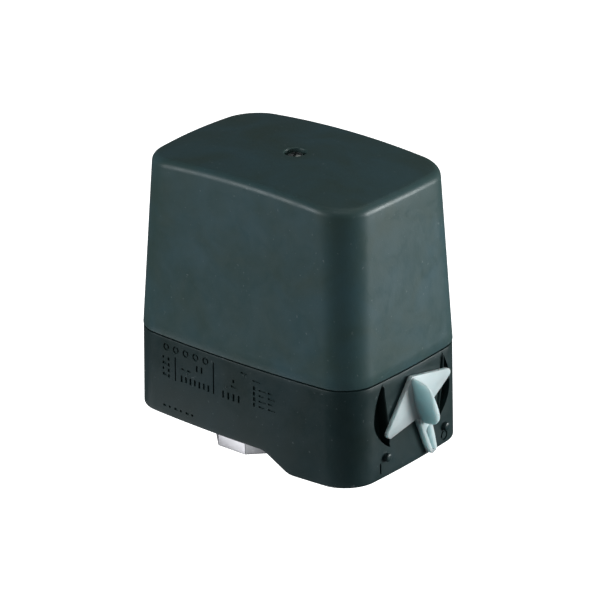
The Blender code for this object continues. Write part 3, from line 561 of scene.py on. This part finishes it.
def fine_screw(name, x, y, z, head_d, head_h, shank_d, length, down=True, cross=False, pitch=0.7, angle=0.0, n=48):
    s = -1.0 if down else 1.0
    rh, rs = head_d / 2, shank_d / 2
    prof = [(0, z - s * head_h), (rh * 0.6, z - s * (head_h - 0.03)), (rh - 0.5, z - s * (head_h - 0.14)),
            (rh - 0.16, z - s * (head_h - 0.42)), (rh, z - s * (head_h - 0.85)), (rh, z - s * 0.14), (rh - 0.14, z), (rs, z)]
    c = 0.7
    while c + pitch < length - 0.5:
        prof += [(rs, z + s * c), (rs - 0.3 * pitch - 0.08, z + s * (c + pitch / 2))]
        c += pitch
    prof += [(rs, z + s * c), (rs - 0.55, z + s * length), (0, z + s * length)]
    ob = turned(name, prof, o=(x, y, 0), n=n, angle=35)
    za, zb = sorted((z - s * (head_h + 1), z - s * (head_h - 1.0)))

    def slot(hw, hl, a):
        c_, q_ = math.cos(a), math.sin(a)
        pts = [(x + u * c_ - w * q_, y + u * q_ + w * c_) for u, w in ((-hl, -hw), (hl, -hw), (hl, hw), (-hl, hw))]
        return prism("slot", pts, za, zb)
    if cross:
        cut(ob, slot(0.42, rh * 0.62, angle), slot(0.42, rh * 0.62, angle + math.pi / 2), rod("well", 0.85, za, zb, o=(x, y, 0), n=16))
    else:
        cut(ob, slot(0.45, rh + 1, angle))
    smooth(ob.data, 35)
    return ob


def fine_coil(name, r, wire, z0, z1, turns, o=(0, 0), per=36, sides=12):
    """Compression spring with one dead turn at each end."""
    v, f = [], []
    steps = int(turns * per)
    dead = wire * 1.03
    active = (z1 - z0 - wire - 2 * dead) / (turns - 2)
    for k in range(steps + 1):
        t = k / per
        z = z0 + wire / 2 + (t * dead if t < 1 else dead + (t - 1) * active if t < turns - 1 else z1 - z0 - wire - (turns - t) * dead)
        a = 2 * math.pi * t
        for j in range(sides):
            b = 2 * math.pi * j / sides
            rr = r + wire / 2 * math.cos(b)
            v.append((o[0] + rr * math.cos(a), o[1] + rr * math.sin(a), z + wire / 2 * math.sin(b)))
    for k in range(steps):
        for j in range(sides):
            j2 = (j + 1) % sides
            f.append((k * sides + j, k * sides + j2, (k + 1) * sides + j2, (k + 1) * sides + j))
    f.append(tuple(range(sides)))
    f.append(tuple(range(steps * sides + sides - 1, steps * sides - 1, -1)))
    return make(name, v, f, 50)


def threads(r, depth, z0, z1, pitch, outward=True):
    """Profile points of a ridged bore or shank from z0 to z1."""
    out, z = [], z0
    sg = -1 if outward else 1
    while z + pitch < z1:
        out += [(r, z), (r + sg * depth, z + pitch / 2)]
        z += pitch
    return out + [(r, z)]


def flange_outline(c=4.0, hx=21.0, hy=26.0, n=8):
    pts = []
    for sx, sy, a0 in ((1, 1, 0), (-1, 1, 90), (-1, -1, 180), (1, -1, 270)):
        for i in range(n + 1):
            a = math.radians(a0 + 90 * i / n)
            pts.append((sx * (hx - c) + c * math.cos(a), sy * (hy - c) + c * math.sin(a)))
    return pts


def build_socket():
    oct_ = circle(16.0 / math.cos(math.pi / 8), 8, a0=math.pi / 8)
    ob = bevel(prism("port_body", oct_, 0.0, 21.2), 0.45, 3, angle=20)
    add(ob, bevel(prism("flange", flange_outline(), 20.5, 24.5), 0.4, 3))
    bore = [(0, -5), (10.4, -5), (10.4, 0.2), (9.5, 1.2)] + threads(9.5, 0.75, 1.4, 13.4, 1.81, False) + [(9.3, 14.4), (8.6, 15.0), (0, 15.2)]
    cut(ob, turned("bore", bore, n=72), rod("passage", 2.0, 14.0, 23.0, n=24), rod("chamber", 14.0, 22.3, 30.0, n=56),
        rod("seat", 18.3, 23.1, 30.0, n=64))
    for x in (-15.0, 15.0):
        for y in (-20.0, 20.0):
            cut(ob, rod("hole", 2.6, 15.0, 30.0, o=(x, y, 0), n=24))
    for y in (-21.5, 21.5):
        cut(ob, rod("hole", 2.2, 15.0, 23.9, o=(0, y, 0), n=20))
    smooth(ob.data, 32)
    return ob


def build_inside():
    """Refined versions of the pieces under the hood, by node name."""
    P = {}
    px, pz, dx = -24.0, 38.25, -15.5
    prof = [(0, 120.75), (1.2, 120.7), (2.1, 120.52), (2.7, 120.2), (3.1, 119.7), (3.25, 119.1), (3.65, 118.95), (3.7, 118.8), (3.6, 118.5), (2.0, 118.5)]
    prof += [(r_, 236.6 - z_) for r_, z_ in threads(2.0, 0.3, 119.6, 134.5, 0.7)]
    cs = turned("cover_screw_fine", prof + [(1.4, 100.5), (0, 100.5)], o=(XC, 0, 0), n=64, angle=40)
    for a in (0.5, 0.5 + math.pi / 2):
        c_, q_ = math.cos(a), math.sin(a)
        cut(cs, prism("slot", [(XC + u * c_ - w * q_, u * q_ + w * c_) for u, w in ((-2.3, -0.5), (2.3, -0.5), (2.3, 0.5), (-2.3, 0.5))], 119.3, 122.0))
    P["cover_screw"] = cs
    P["cover_screw_retainer"] = turned("retainer_fine", [(2.3, 111.0), (4.2, 111.0), (4.4, 111.15), (4.4, 111.75), (4.2, 111.9), (2.3, 111.9)],
                                       o=(XC, 0, 0), n=40, ring=True)
    post = turned("cover_post_fine", [(0, 83.6), (2.0, 83.6), (2.2, 83.8), (2.2, 86.8), (4.5, 86.8), (4.8, 87.1), (4.8, 109.9), (4.0, 110.7),
                                      (0, 110.7)], o=(XC, 0, 0), n=40)
    P["cover_post"] = cut(post, turned("bore", [(0, 98.0), (2.2, 98.4)] + threads(2.2, 0.35, 98.6, 109.4, 0.7, False)
                                       + [(2.8, 111.0), (2.8, 113.0), (0, 113.0)], o=(XC, 0, 0), n=28))
    zb = Z_SEAM + 0.15
    P["cover_seal"] = skin("cover_seal_fine", [ring3(outline(0.0, i), z) for i, z in
                                               ((2.85, zb), (2.7, zb + 0.15), (2.7, 51.1), (2.95, 51.4), (3.55, 51.4), (3.8, 51.1), (3.8, zb + 0.15), (3.65, zb))], True)
    o = (0, KNOB_Y, KNOB_Z)
    P["knob_shaft"] = turned("knob_shaft_fine", [(0, 48.4), (2.5, 48.4), (3.0, 48.9), (3.0, 62.3), (2.3, 62.35), (2.3, 63.85), (3.0, 63.9),
                                                 (3.0, 72.4), (2.7, 72.7), (0, 72.7)], 'X', o, n=40)
    ce, ca = 3.2, math.radians(18.0)
    cam = bevel(prism("off_cam_fine", circle(6.75, 56, ce * math.cos(ca), ce * math.sin(ca)), 49.8, 54.8, 'X', o), 0.35, 2)
    add(cam, turned("hub", [(0, 49.6), (4.7, 49.6), (5.0, 49.9), (5.0, 57.2), (4.7, 57.5), (0, 57.5)], 'X', o, n=40))
    P["off_cam"] = cut(cam, rod("bore", 3.15, 40.0, 60.0, 'X', o, n=32))
    clip = turned("shaft_clip_fine", [(2.45, 62.6), (5.0, 62.6), (5.0, 63.6), (2.45, 63.6)], 'X', o, n=40, ring=True)
    P["shaft_clip"] = bevel(cut(clip, box("mouth", 60, 66, KNOB_Y - 1.6, KNOB_Y + 1.6, KNOB_Z - 8, KNOB_Z)), 0.12, 2)
    # pressure side
    P["diaphragm"] = turned("diaphragm_fine", [(0, 23.4), (17.8, 23.4), (18.0, 23.6), (18.0, 24.2), (17.8, 24.4), (0, 24.4)], n=64)
    cl = bevel(prism("clamp_flange_fine", flange_outline(), 24.8, 28.3), 0.4, 3)
    cut(cl, rod("hole", 13.0, 20, 30, n=56))
    for x in (-15.0, 15.0):
        for y in (-20.0, 20.0):
            cut(cl, rod("hole", 2.7, 15.0, 30.0, o=(x, y, 0), n=24))
    P["clamp_flange"] = cl
    P["pressure_piston"] = turned("piston_fine", [(0, 24.7), (12.1, 24.7), (12.4, 25.0), (12.4, 27.3), (12.1, 27.7), (4.6, 27.7), (4.1, 28.1),
                                                  (4.0, 36.2), (3.4, 36.7), (0, 36.7)], n=56)
    k = 0
    for x in (-15.0, 15.0):
        for y in (-20.0, 20.0):
            k += 1
            P["flange_screw_%d" % k] = fine_screw("flange_screw_%d_fine" % k, x, y, 30.9, 8.0, 3.4, 4.6, 9.6, angle=0.7 * k)
    for nm, y, a in (("housing_screw_front", -21.5, 0.4), ("housing_screw_rear", 21.5, 1.2)):
        P[nm] = fine_screw(nm + "_fine", 0, y, Z_FLOOR - 0.3, 7.4, 2.3, 3.8, 5.9, down=False, cross=True, angle=a)
    # frame of bent sheet
    br = soft_box("bracket_fine", -28.0, 27.0, -14.5, 14.5, 84.0, 86.5, 0.5)
    for sg in (-1, 1):
        ya, yb = sorted((sg * 13.0, sg * 14.5))
        add(br, soft_box("side", -28.0, 21.0, ya, yb, 28.6, 85.0, 0.3))
        ya, yb = sorted((sg * 14.0, sg * 25.0))
        add(br, soft_box("foot", -20.5, 20.5, ya, yb, 28.6, 30.6, 0.4))
    win = [(sx * 11.0 + 3.0 * math.cos(math.radians(a)), sz * 14.0 + 61.0 + 3.0 * math.sin(math.radians(a)))
           for sx, sz, a0 in ((1, 1, 0), (-1, 1, 90), (-1, -1, 180), (1, -1, 270)) for a in range(a0, a0 + 91, 15)]
    cut(br, prism("window", [(z, x) for x, z in win], -20, 20, 'Y'))
    for x in (-15.0, 15.0):
        for y in (-20.0, 20.0):
            cut(br, rod("hole", 2.7, 20.0, 33.0, o=(x, y, 0), n=24))
    cut(br, rod("pin_hole", 2.2, -20, 20, 'Y', (px, 0, pz), n=24), rod("hole", 3.4, 80, 90, n=32), rod("hole", 2.3, 80, 90, o=(dx, 0, 0), n=24),
        rod("hole", 2.5, 80, 90, o=(XC, 0, 0), n=28), rod("hole", 2.0, 80, 90, o=(-21.0, -9.0, 0), n=24))
    P["frame_bracket"] = br
    lv = soft_box("lever_fine", px + 2.6, 47.0, -11.0, 11.0, 37.0, 39.5, 0.4)
    add(lv, rod("eye", 3.55, -11.0, 11.0, 'Y', (px, 0, pz), n=40))
    cut(lv, rod("bore", 2.3, -20, 20, 'Y', (px, 0, pz), n=32))
    for sg in (-1, 1):
        ya, yb = sorted((sg * 6.5, sg * 15.0))
        cut(lv, box("waist", 17.0, 60.0, ya, yb, 30, 50))
    P["rocker_lever"] = lv
    P["rocker_pin"] = turned("rocker_pin_fine", [(0, -16.6), (2.6, -16.6), (3.2, -16.2), (3.2, -14.9), (2.0, -14.9), (2.0, 15.9), (1.5, 16.4), (0, 16.4)],
                             'Y', (px, 0, pz), n=32)
    # range spring set
    P["range_seat_lower"] = turned("range_seat_fine", [(0, 39.8), (2.6, 39.8), (3.0, 40.1), (3.0, 40.9), (10.7, 40.9), (11.0, 41.2), (11.0, 44.2), (10.8, 44.4),
                                                       (10.2, 44.4), (10.0, 44.2), (10.0, 42.6), (9.7, 42.3), (0, 42.3)], n=64)
    P["range_spring"] = fine_coil("range_spring_fine", 7.6, 2.35, 43.35, 72.85, 6.0)
    nut = turned("range_nut_fine", [(0, 73.2), (9.3, 73.2), (9.6, 73.5), (9.6, 74.9), (9.3, 75.2), (6.0, 75.2), (6.0, 79.2), (5.7, 79.5), (0, 79.5)], n=60)
    P["range_nut"] = cut(nut, rod("bore", 3.25, 60, 90, n=32))
    sp = turned("range_spindle_fine", [(0, 52.0), (2.4, 52.0)] + threads(3.0, 0.45, 52.6, 83.0, 1.5) + [(3.0, 86.8), (4.1, 86.8), (4.4, 87.1), (4.4, 88.0), (0, 88.0)], n=40)
    hexa = circle(5.0 / math.cos(math.pi / 6), 6)
    add(sp, bevel(prism("hex", hexa, 87.6, 93.5), 0.45, 2))
    P["range_spindle"] = cut(sp, box("slot", -7, 7, -0.7, 0.7, 92.0, 96.0))
    P["differential_seat"] = turned("diff_seat_fine", [(0, 39.8), (3.9, 39.8), (4.1, 40.0), (4.1, 42.3), (3.9, 42.5), (3.6, 42.5), (3.6, 40.9), (0, 40.9)],
                                    o=(dx, 0, 0), n=40)
    P["differential_spring"] = fine_coil("diff_spring_fine", 2.9, 1.0, 41.75, 68.65, 9.0, o=(dx, 0), per=24, sides=10)
    dn = bevel(prism("diff_nut_fine", circle(4.0 / math.cos(math.pi / 6), 6), 69.0, 73.0, o=(dx, 0, 0)), 0.35, 2)
    P["differential_nut"] = cut(dn, rod("bore", 2.1, 60, 90, o=(dx, 0, 0), n=28))
    P["differential_screw"] = fine_screw("diff_screw_fine", dx, 0, 86.8, 7.0, 3.6, 3.8, 30.0, angle=0.3)
    ec = soft_box("earth_clamp_fine", -25.0, -17.0, -13.0, -5.0, 86.8, 88.0, 0.3)
    P["earth_clamp"] = cut(ec, rod("hole", 2.1, 80, 95, o=(-21.0, -9.0, 0), n=24))
    P["earth_screw"] = fine_screw("earth_screw_fine", -21.0, -9.0, 88.3, 7.0, 2.4, 3.4, 6.5, cross=True, angle=0.9)
    # terminal block
    bx, z1 = 45.0, 68.5
    blk = soft_box("block_fine", bx - 17.0, bx + 17.0, -27.0, 27.0, 54.5, z1, 0.6)
    for y in (-8.0, 8.0):
        add(blk, soft_box("barrier", bx - 17.0, bx - 5.5, y - 0.7, y + 0.7, z1 - 1, z1 + 11.0, 0.3),
            soft_box("barrier", bx + 5.5, bx + 17.0, y - 0.7, y + 0.7, z1 - 1, z1 + 11.0, 0.3))
    cut(blk, box("slot", bx - 3.0, bx + 3.0, -5.6, 5.6, 50, 75))
    for y in (-9.5, 9.5):
        cut(blk, rod("guide", 1.9, 50.0, 62.5, o=(53.0, y, 0), n=20))
    z0 = z1 + 0.3
    for py in (-16.0, 0.0, 16.0):
        for sg in (-1, 1):
            cut(blk, rod("thread", 1.8, 60.0, 80.0, o=(bx + sg * 14.6, py, 0), n=20))
    for x, y in ((bx - 12, -24.0), (bx + 12, 24.0)):
        cut(blk, rod("hole", 1.7, 50, 80, o=(x, y, 0), n=20))
    P["terminal_block"] = blk
    for k, (x, y) in enumerate(((bx - 12, -24.0), (bx + 12, 24.0)), 1):
        P["block_screw_%d" % k] = fine_screw("block_screw_%d_fine" % k, x, y, z1 + 0.3, 5.4, 2.2, 2.9, 20.0, cross=True, angle=0.4 * k, n=36)
    k = 0
    zpip = z0 + 5.7
    zbr = zpip + 1.0
    for py in (-16.0, 0.0, 16.0):
        for sg in (-1, 1):
            k += 1
            xa, xb = sorted((bx + sg * 7.5, bx + sg * 16.8))
            fc = soft_box("contact_%d_fine" % k, xa, xb, py - 4.0, py + 4.0, z0, z0 + 1.5, 0.25, 2)
            add(fc, turned("pip", [(0, z0 + 1.0), (2.0, z0 + 1.0), (2.0, z0 + 2.3), (1.6, z0 + 2.62), (0, z0 + 2.7)], o=(bx + sg * 9.6, py, 0), n=28))
            P["fixed_contact_%d" % k] = cut(fc, rod("hole", 1.75, 60, 80, o=(bx + sg * 14.6, py, 0), n=20))
            P["terminal_screw_%d" % k] = fine_screw("terminal_screw_%d_fine" % k, bx + sg * 14.6, py, z0 + 1.8, 4.8, 2.4, 3.1, 9.0,
                                                    cross=True, angle=0.37 * k, n=36)
    zy = KNOB_Z + ce * math.sin(ca) + 6.8 + 0.3
    yk = soft_box("yoke_fine", 48.3, 56.0, -12.0, 12.0, zy, zy + 1.7, 0.3)
    for y in (-9.5, 9.5):
        add(yk, turned("guide", [(0, 46.0), (1.5, 46.0), (1.5, 59.6), (1.1, 60.0), (0, 60.0)], o=(53.0, y, 0), n=20))
    P["lifting_yoke"] = yk
    cz0 = zbr - 2.5
    car = soft_box("carrier_fine", bx - 3.0, bx + 3.0, -26.0, 26.0, cz0, zbr + 11.5, 0.5)
    add(car, soft_box("stem", bx - 2.5, bx + 2.5, -5.0, 5.0, 42.5, cz0 + 1.0, 0.4), soft_box("shelf", bx + 2.0, 56.0, -6.0, 6.0, 47.3, 49.3, 0.4))
    for k, py in enumerate((-16.0, 0.0, 16.0), 1):
        cut(car, box("window", bx - 6, bx + 6, py - 4.2, py + 4.2, zbr - 0.3, zbr + 9.3))
        b_ = soft_box("bridge_%d_fine" % k, bx - 12.0, bx + 12.0, py - 3.0, py + 3.0, zbr, zbr + 1.2, 0.25, 2)
        for sg in (-1, 1):
            add(b_, turned("pip", [(0, zpip), (1.5, zpip + 0.08), (1.9, zpip + 0.4), (1.9, zbr + 0.5), (0, zbr + 0.5)], o=(bx + sg * 9.6, py, 0), n=28))
        P["contact_bridge_%d" % k] = b_
        P["bridge_spring_%d" % k] = fine_coil("bridge_spring_%d_fine" % k, 2.1, 0.78, zbr + 1.52, zbr + 8.98, 4.0, o=(bx, py), per=24, sides=8)
    P["contact_carrier"] = car
    for nm, y in (("cable_seal_front", -13.2), ("cable_seal_rear", 13.2)):
        prof = [(0, -37.4), (1.2, -37.4), (1.5, -37.2), (2.4, -37.2), (2.7, -37.4), (4.4, -37.4), (4.9, -37.15), (5.6, -36.6), (7.0, -36.3), (8.4, -36.1),
                (10.7, -35.8), (11.0, -35.6), (11.0, -35.0), (10.85, -34.85), (9.6, -34.85), (9.6, -30.3), (11.0, -30.3), (10.4, -29.0), (8.2, -29.0),
                (7.6, -34.6), (4.4, -36.2), (0, -36.2)]
        P[nm] = turned(nm + "_fine", prof, "X", (0, y, 33.0), n=72, angle=40)
    return P


# ------------------------------------------------------------------ materials
def new_mat(name, colour, rough, metal=0.0, **sockets):
    m = bpy.data.materials.new(name)
    m.use_nodes = True
    nt = m.node_tree
    b = nt.nodes["Principled BSDF"]
    b.inputs["Base Color"].default_value = (*colour, 1)
    b.inputs["Roughness"].default_value = rough
    b.inputs["Metallic"].default_value = metal
    for k, v in sockets.items():
        b.inputs[k.replace("_", " ")].default_value = v
    return m, nt, b


def noise(nt, scale, detail=3.0, rough=0.5, dist=0.0):
    tc = nt.nodes.get("tc") or nt.nodes.new("ShaderNodeTexCoord")
    tc.name = "tc"
    n = nt.nodes.new("ShaderNodeTexNoise")
    n.inputs["Scale"].default_value = scale
    n.inputs["Detail"].default_value = detail
    n.inputs["Roughness"].default_value = rough
    n.inputs["Distortion"].default_value = dist
    nt.links.new(tc.outputs["Object"], n.inputs["Vector"])
    return n.outputs["Fac"]


def ramp(nt, fac, stops):
    r = nt.nodes.new("ShaderNodeValToRGB")
    nt.links.new(fac, r.inputs["Fac"])
    e = r.color_ramp.elements
    e[0].position, e[0].color = stops[0][0], (*stops[0][1], 1)
    e[1].position, e[1].color = stops[-1][0], (*stops[-1][1], 1)
    for p, c in stops[1:-1]:
        x = e.new(p)
        x.color = (*c, 1)
    return r.outputs["Color"]


def remap(nt, fac, a0, a1, b0, b1):
    r = nt.nodes.new("ShaderNodeMapRange")
    nt.links.new(fac, r.inputs["Value"])
    for k, v in zip(("From Min", "From Max", "To Min", "To Max"), (a0, a1, b0, b1)):
        r.inputs[k].default_value = v
    return r.outputs["Result"]


def bump(nt, b, heights):
    """heights: list of (socket, strength, distance in mm)."""
    prev = None
    for h, strength, dist in heights:
        n = nt.nodes.new("ShaderNodeBump")
        n.inputs["Strength"].default_value = strength
        n.inputs["Distance"].default_value = dist * MM
        nt.links.new(h, n.inputs["Height"])
        if prev:
            nt.links.new(prev, n.inputs["Normal"])
        prev = n.outputs["Normal"]
    nt.links.new(prev, b.inputs["Normal"])


def plastic(name, colour, rough, grain=1.0, mottle=0.08, tint=0.0, dust=0.0, **kw):
    """Moulded plastic: patches of slightly different tone, fine grain, and if wanted a little dust in the grain."""
    m, nt, b = new_mat(name, colour, rough, **kw)
    c = np.array(colour)
    cool, warm = np.array((1 - tint, 1.0, 1 + 1.4 * tint)), np.array((1 + tint, 1.0, 1 - 1.6 * tint))
    col = ramp(nt, noise(nt, 42.0, 4.0, 0.55, 0.6), [(0.32, tuple(c * (1 - mottle) * warm)), (0.68, tuple(c * (1 + mottle) * cool))])
    if dust:
        mix = nt.nodes.new("ShaderNodeMix")
        mix.data_type = 'RGBA'
        nt.links.new(remap(nt, noise(nt, 620.0, 2.0), 0.70, 0.78, 0.0, dust), mix.inputs["Factor"])
        nt.links.new(col, mix.inputs[6])
        mix.inputs[7].default_value = (0.42, 0.47, 0.48, 1)
        col = mix.outputs[2]
    nt.links.new(col, b.inputs["Base Color"])
    nt.links.new(remap(nt, noise(nt, 130.0, 4.0, 0.6, 0.8), 0.3, 0.7, rough - 0.06, rough + 0.08), b.inputs["Roughness"])
    bump(nt, b, [(noise(nt, 2600.0, 3.0), 0.16 * grain, 0.05), (noise(nt, 26.0, 2.0), 0.14, 0.6)])
    return m


def metal(name, colour, rough, grain=1.0):
    m, nt, b = new_mat(name, colour, rough, 1.0)
    c = np.array(colour)
    col = ramp(nt, noise(nt, 160.0, 5.0, 0.6), [(0.3, tuple(c * 0.9)), (0.7, tuple(np.minimum(c * 1.06, 1)))])
    nt.links.new(col, b.inputs["Base Color"])
    nt.links.new(remap(nt, noise(nt, 700.0, 4.0), 0.3, 0.7, rough - 0.03, rough + 0.04), b.inputs["Roughness"])
    bump(nt, b, [(noise(nt, 2600.0, 3.0), 0.07 * grain, 0.05)])
    return m


MATS = {
    "hood_plastic": plastic("hood_plastic", (0.0345, 0.0685, 0.0715), 0.40, mottle=0.11, tint=0.07, dust=0.16, Specular_IOR_Level=0.32),
    "base_plastic": plastic("base_plastic", (0.0105, 0.0245, 0.0255), 0.40, grain=1.8, mottle=0.12, tint=0.05, dust=0.12, Specular_IOR_Level=0.30),
    "knob_plastic": plastic("knob_plastic", (0.50, 0.60, 0.62), 0.36, mottle=0.02, Subsurface_Weight=0.8, Subsurface_Radius=(0.75, 1.0, 1.0), Subsurface_Scale=0.007),
    "port_metal": metal("port_metal", (0.84, 0.83, 0.86), 0.30),
    "zinc_steel": metal("zinc_steel", (0.66, 0.65, 0.61), 0.30),
    "screw_steel": metal("screw_steel", (0.62, 0.62, 0.61), 0.28),
    "dark_screw": metal("dark_screw", (0.36, 0.39, 0.39), 0.26),
    "spring_steel": metal("spring_steel", (0.34, 0.35, 0.37), 0.28),
    "brass": metal("brass", (0.74, 0.57, 0.28), 0.28),
    "copper": metal("copper", (0.78, 0.44, 0.28), 0.30),
    "natural_plastic": plastic("natural_plastic", (0.74, 0.71, 0.62), 0.45, mottle=0.03),
    "block_plastic": plastic("block_plastic", (0.045, 0.045, 0.047), 0.45),
    "seal_rubber": plastic("seal_rubber", (0.016, 0.016, 0.017), 0.72, grain=2.0),
}
SLOT_OF = {s["node"]: s["material_slot"] for s in frame["record"]["subparts"]}


def dress(ob, slot):
    ob.data.materials.clear()
    ob.data.materials.append(MATS[slot])


def piece(ob, body, slot, *nodes):
    dress(ob, slot)
    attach(ob, body)
    if nodes:
        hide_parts(*nodes)
    return ob


for nm, ob in frame["nodes"].items():
    dress(ob, SLOT_OF[nm])

piece(build_hood(), "cover", "hood_plastic", "cover_hood")
piece(build_base(), "housing", "base_plastic", "base_housing")
for p in build_pips():
    piece(p, "housing", "base_plastic")
for k, p in enumerate(build_knob()):
    piece(p, "knob", "knob_plastic", *(("switch_knob",) if k == 0 else ()))
for p in build_lips() + build_dots():
    piece(p, "housing", "base_plastic")
piece(build_socket(), "housing", "port_metal", "pressure_socket")

BODY_OF = {}
for body, nodes in frame["record"]["behaviour"]["bodies"].items():
    for nm in nodes:
        BODY_OF[nm] = body
for nm, ob in build_inside().items():
    smooth(ob.data, 35)
    # an adjusting spring stands on its lower seat, so it rides the housing and gets a mesh of its own; the real spring
    # shortens as its nut comes down
    still = nm in ("range_spring", "differential_spring")
    piece(ob, "housing" if still else BODY_OF[nm], SLOT_OF[nm], nm)
    if nm == "range_spring":
        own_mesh(ob)
    if nm == "differential_spring":
        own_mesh(ob)

# ------------------------------------------------------------------ stage
floor = make("floor", [(-6000, -6000, -90), (6000, -6000, -90), (6000, 6000, -90), (-6000, 6000, -90)], [(0, 1, 2, 3)])
fm, nt, b = new_mat("floor", (0.93, 0.93, 0.93), 0.9)
b.inputs["Emission Color"].default_value = (1, 1, 1, 1)
b.inputs["Emission Strength"].default_value = 1.0
floor.data.materials.append(fm)
floor.visible_diffuse = floor.visible_glossy = False


def card(name, x0, x1, y0, y1, z, strength):
    """Small white reflector under the port, seen only in its gloss."""
    ob = make(name, [(x0, y0, z), (x1, y0, z), (x1, y1, z), (x0, y1, z)], [(0, 1, 2, 3)])
    m, nt, b = new_mat(name, (0.9, 0.9, 0.9), 0.9)
    b.inputs["Emission Color"].default_value = (0.97, 0.97, 1.0, 1)
    b.inputs["Emission Strength"].default_value = strength
    ob.data.materials.append(m)
    ob.visible_camera = ob.visible_diffuse = ob.visible_shadow = False


card("card_left", -110, 5, -98, -36, -20, 0.80)
card("card_right", 22, 100, -90, -30, -20, 0.10)

scene = bpy.context.scene
scene.view_settings.view_transform = 'Standard'
world = bpy.data.worlds.new("world")
scene.world = world
world.use_nodes = True
world.node_tree.nodes["Background"].inputs["Color"].default_value = (0.92, 0.96, 1.0, 1)
world.node_tree.nodes["Background"].inputs["Strength"].default_value = 0.085


def area(name, pos, target, size, power, colour=(1, 1, 1)):
    l = bpy.data.lights.new(name, 'AREA')
    l.shape, l.size, l.size_y = 'RECTANGLE', size[0], size[1]
    l.energy, l.color = power, colour
    ob = bpy.data.objects.new(name, l)
    ob.location = Vector(pos)
    ob.rotation_euler = (Vector(target) - Vector(pos)).to_track_quat('-Z', 'Y').to_euler()
    COL.objects.link(ob)
    return ob


aim = (0.02, 0, 0.06)
area("key_right", (1.285, 0.94, 0.18), aim, (0.65, 0.65), 33.5, (0.95, 1.0, 1.0))
area("fill_left", (-0.75, -1.35, 0.42), aim, (1.0, 0.8), 16.8, (0.93, 0.98, 1.0))
area("edge_strip", (0.45, -0.62, 1.45), aim, (1.3, 0.16), 2.4, (0.96, 1.0, 1.0))
area("top_soft", (0.2, 0.5, 1.8), aim, (1.6, 1.6), 4.9, (1.0, 1.0, 0.92))

# camera at the photograph's angle
az, el, roll = math.radians(39.402), math.radians(23.715), math.radians(-0.53)
back = Vector((math.sin(az) * math.cos(el), -math.cos(az) * math.cos(el), math.sin(el)))
right = Vector((math.cos(az), math.sin(az), 0))
up = back.cross(right)
r2 = right * math.cos(roll) + up * math.sin(roll)
u2 = up * math.cos(roll) - right * math.sin(roll)
x0 = Vector((19.6, 0, 74.7))
pos = (x0 + r2 * 1.289 - u2 * 11.587 + back * 1419.426) * MM
cam = bpy.data.cameras.new("camera")
cam.sensor_width = 36.0
cam.lens = 3822.065 / 600 * 36
cam.clip_start, cam.clip_end = 0.05, 50.0
cam_ob = bpy.data.objects.new("camera", cam)
rot = Matrix((r2, u2, back)).transposed().to_4x4()
cam_ob.matrix_world = Matrix.Translation(pos) @ rot
COL.objects.link(cam_ob)
scene.camera = cam_ob
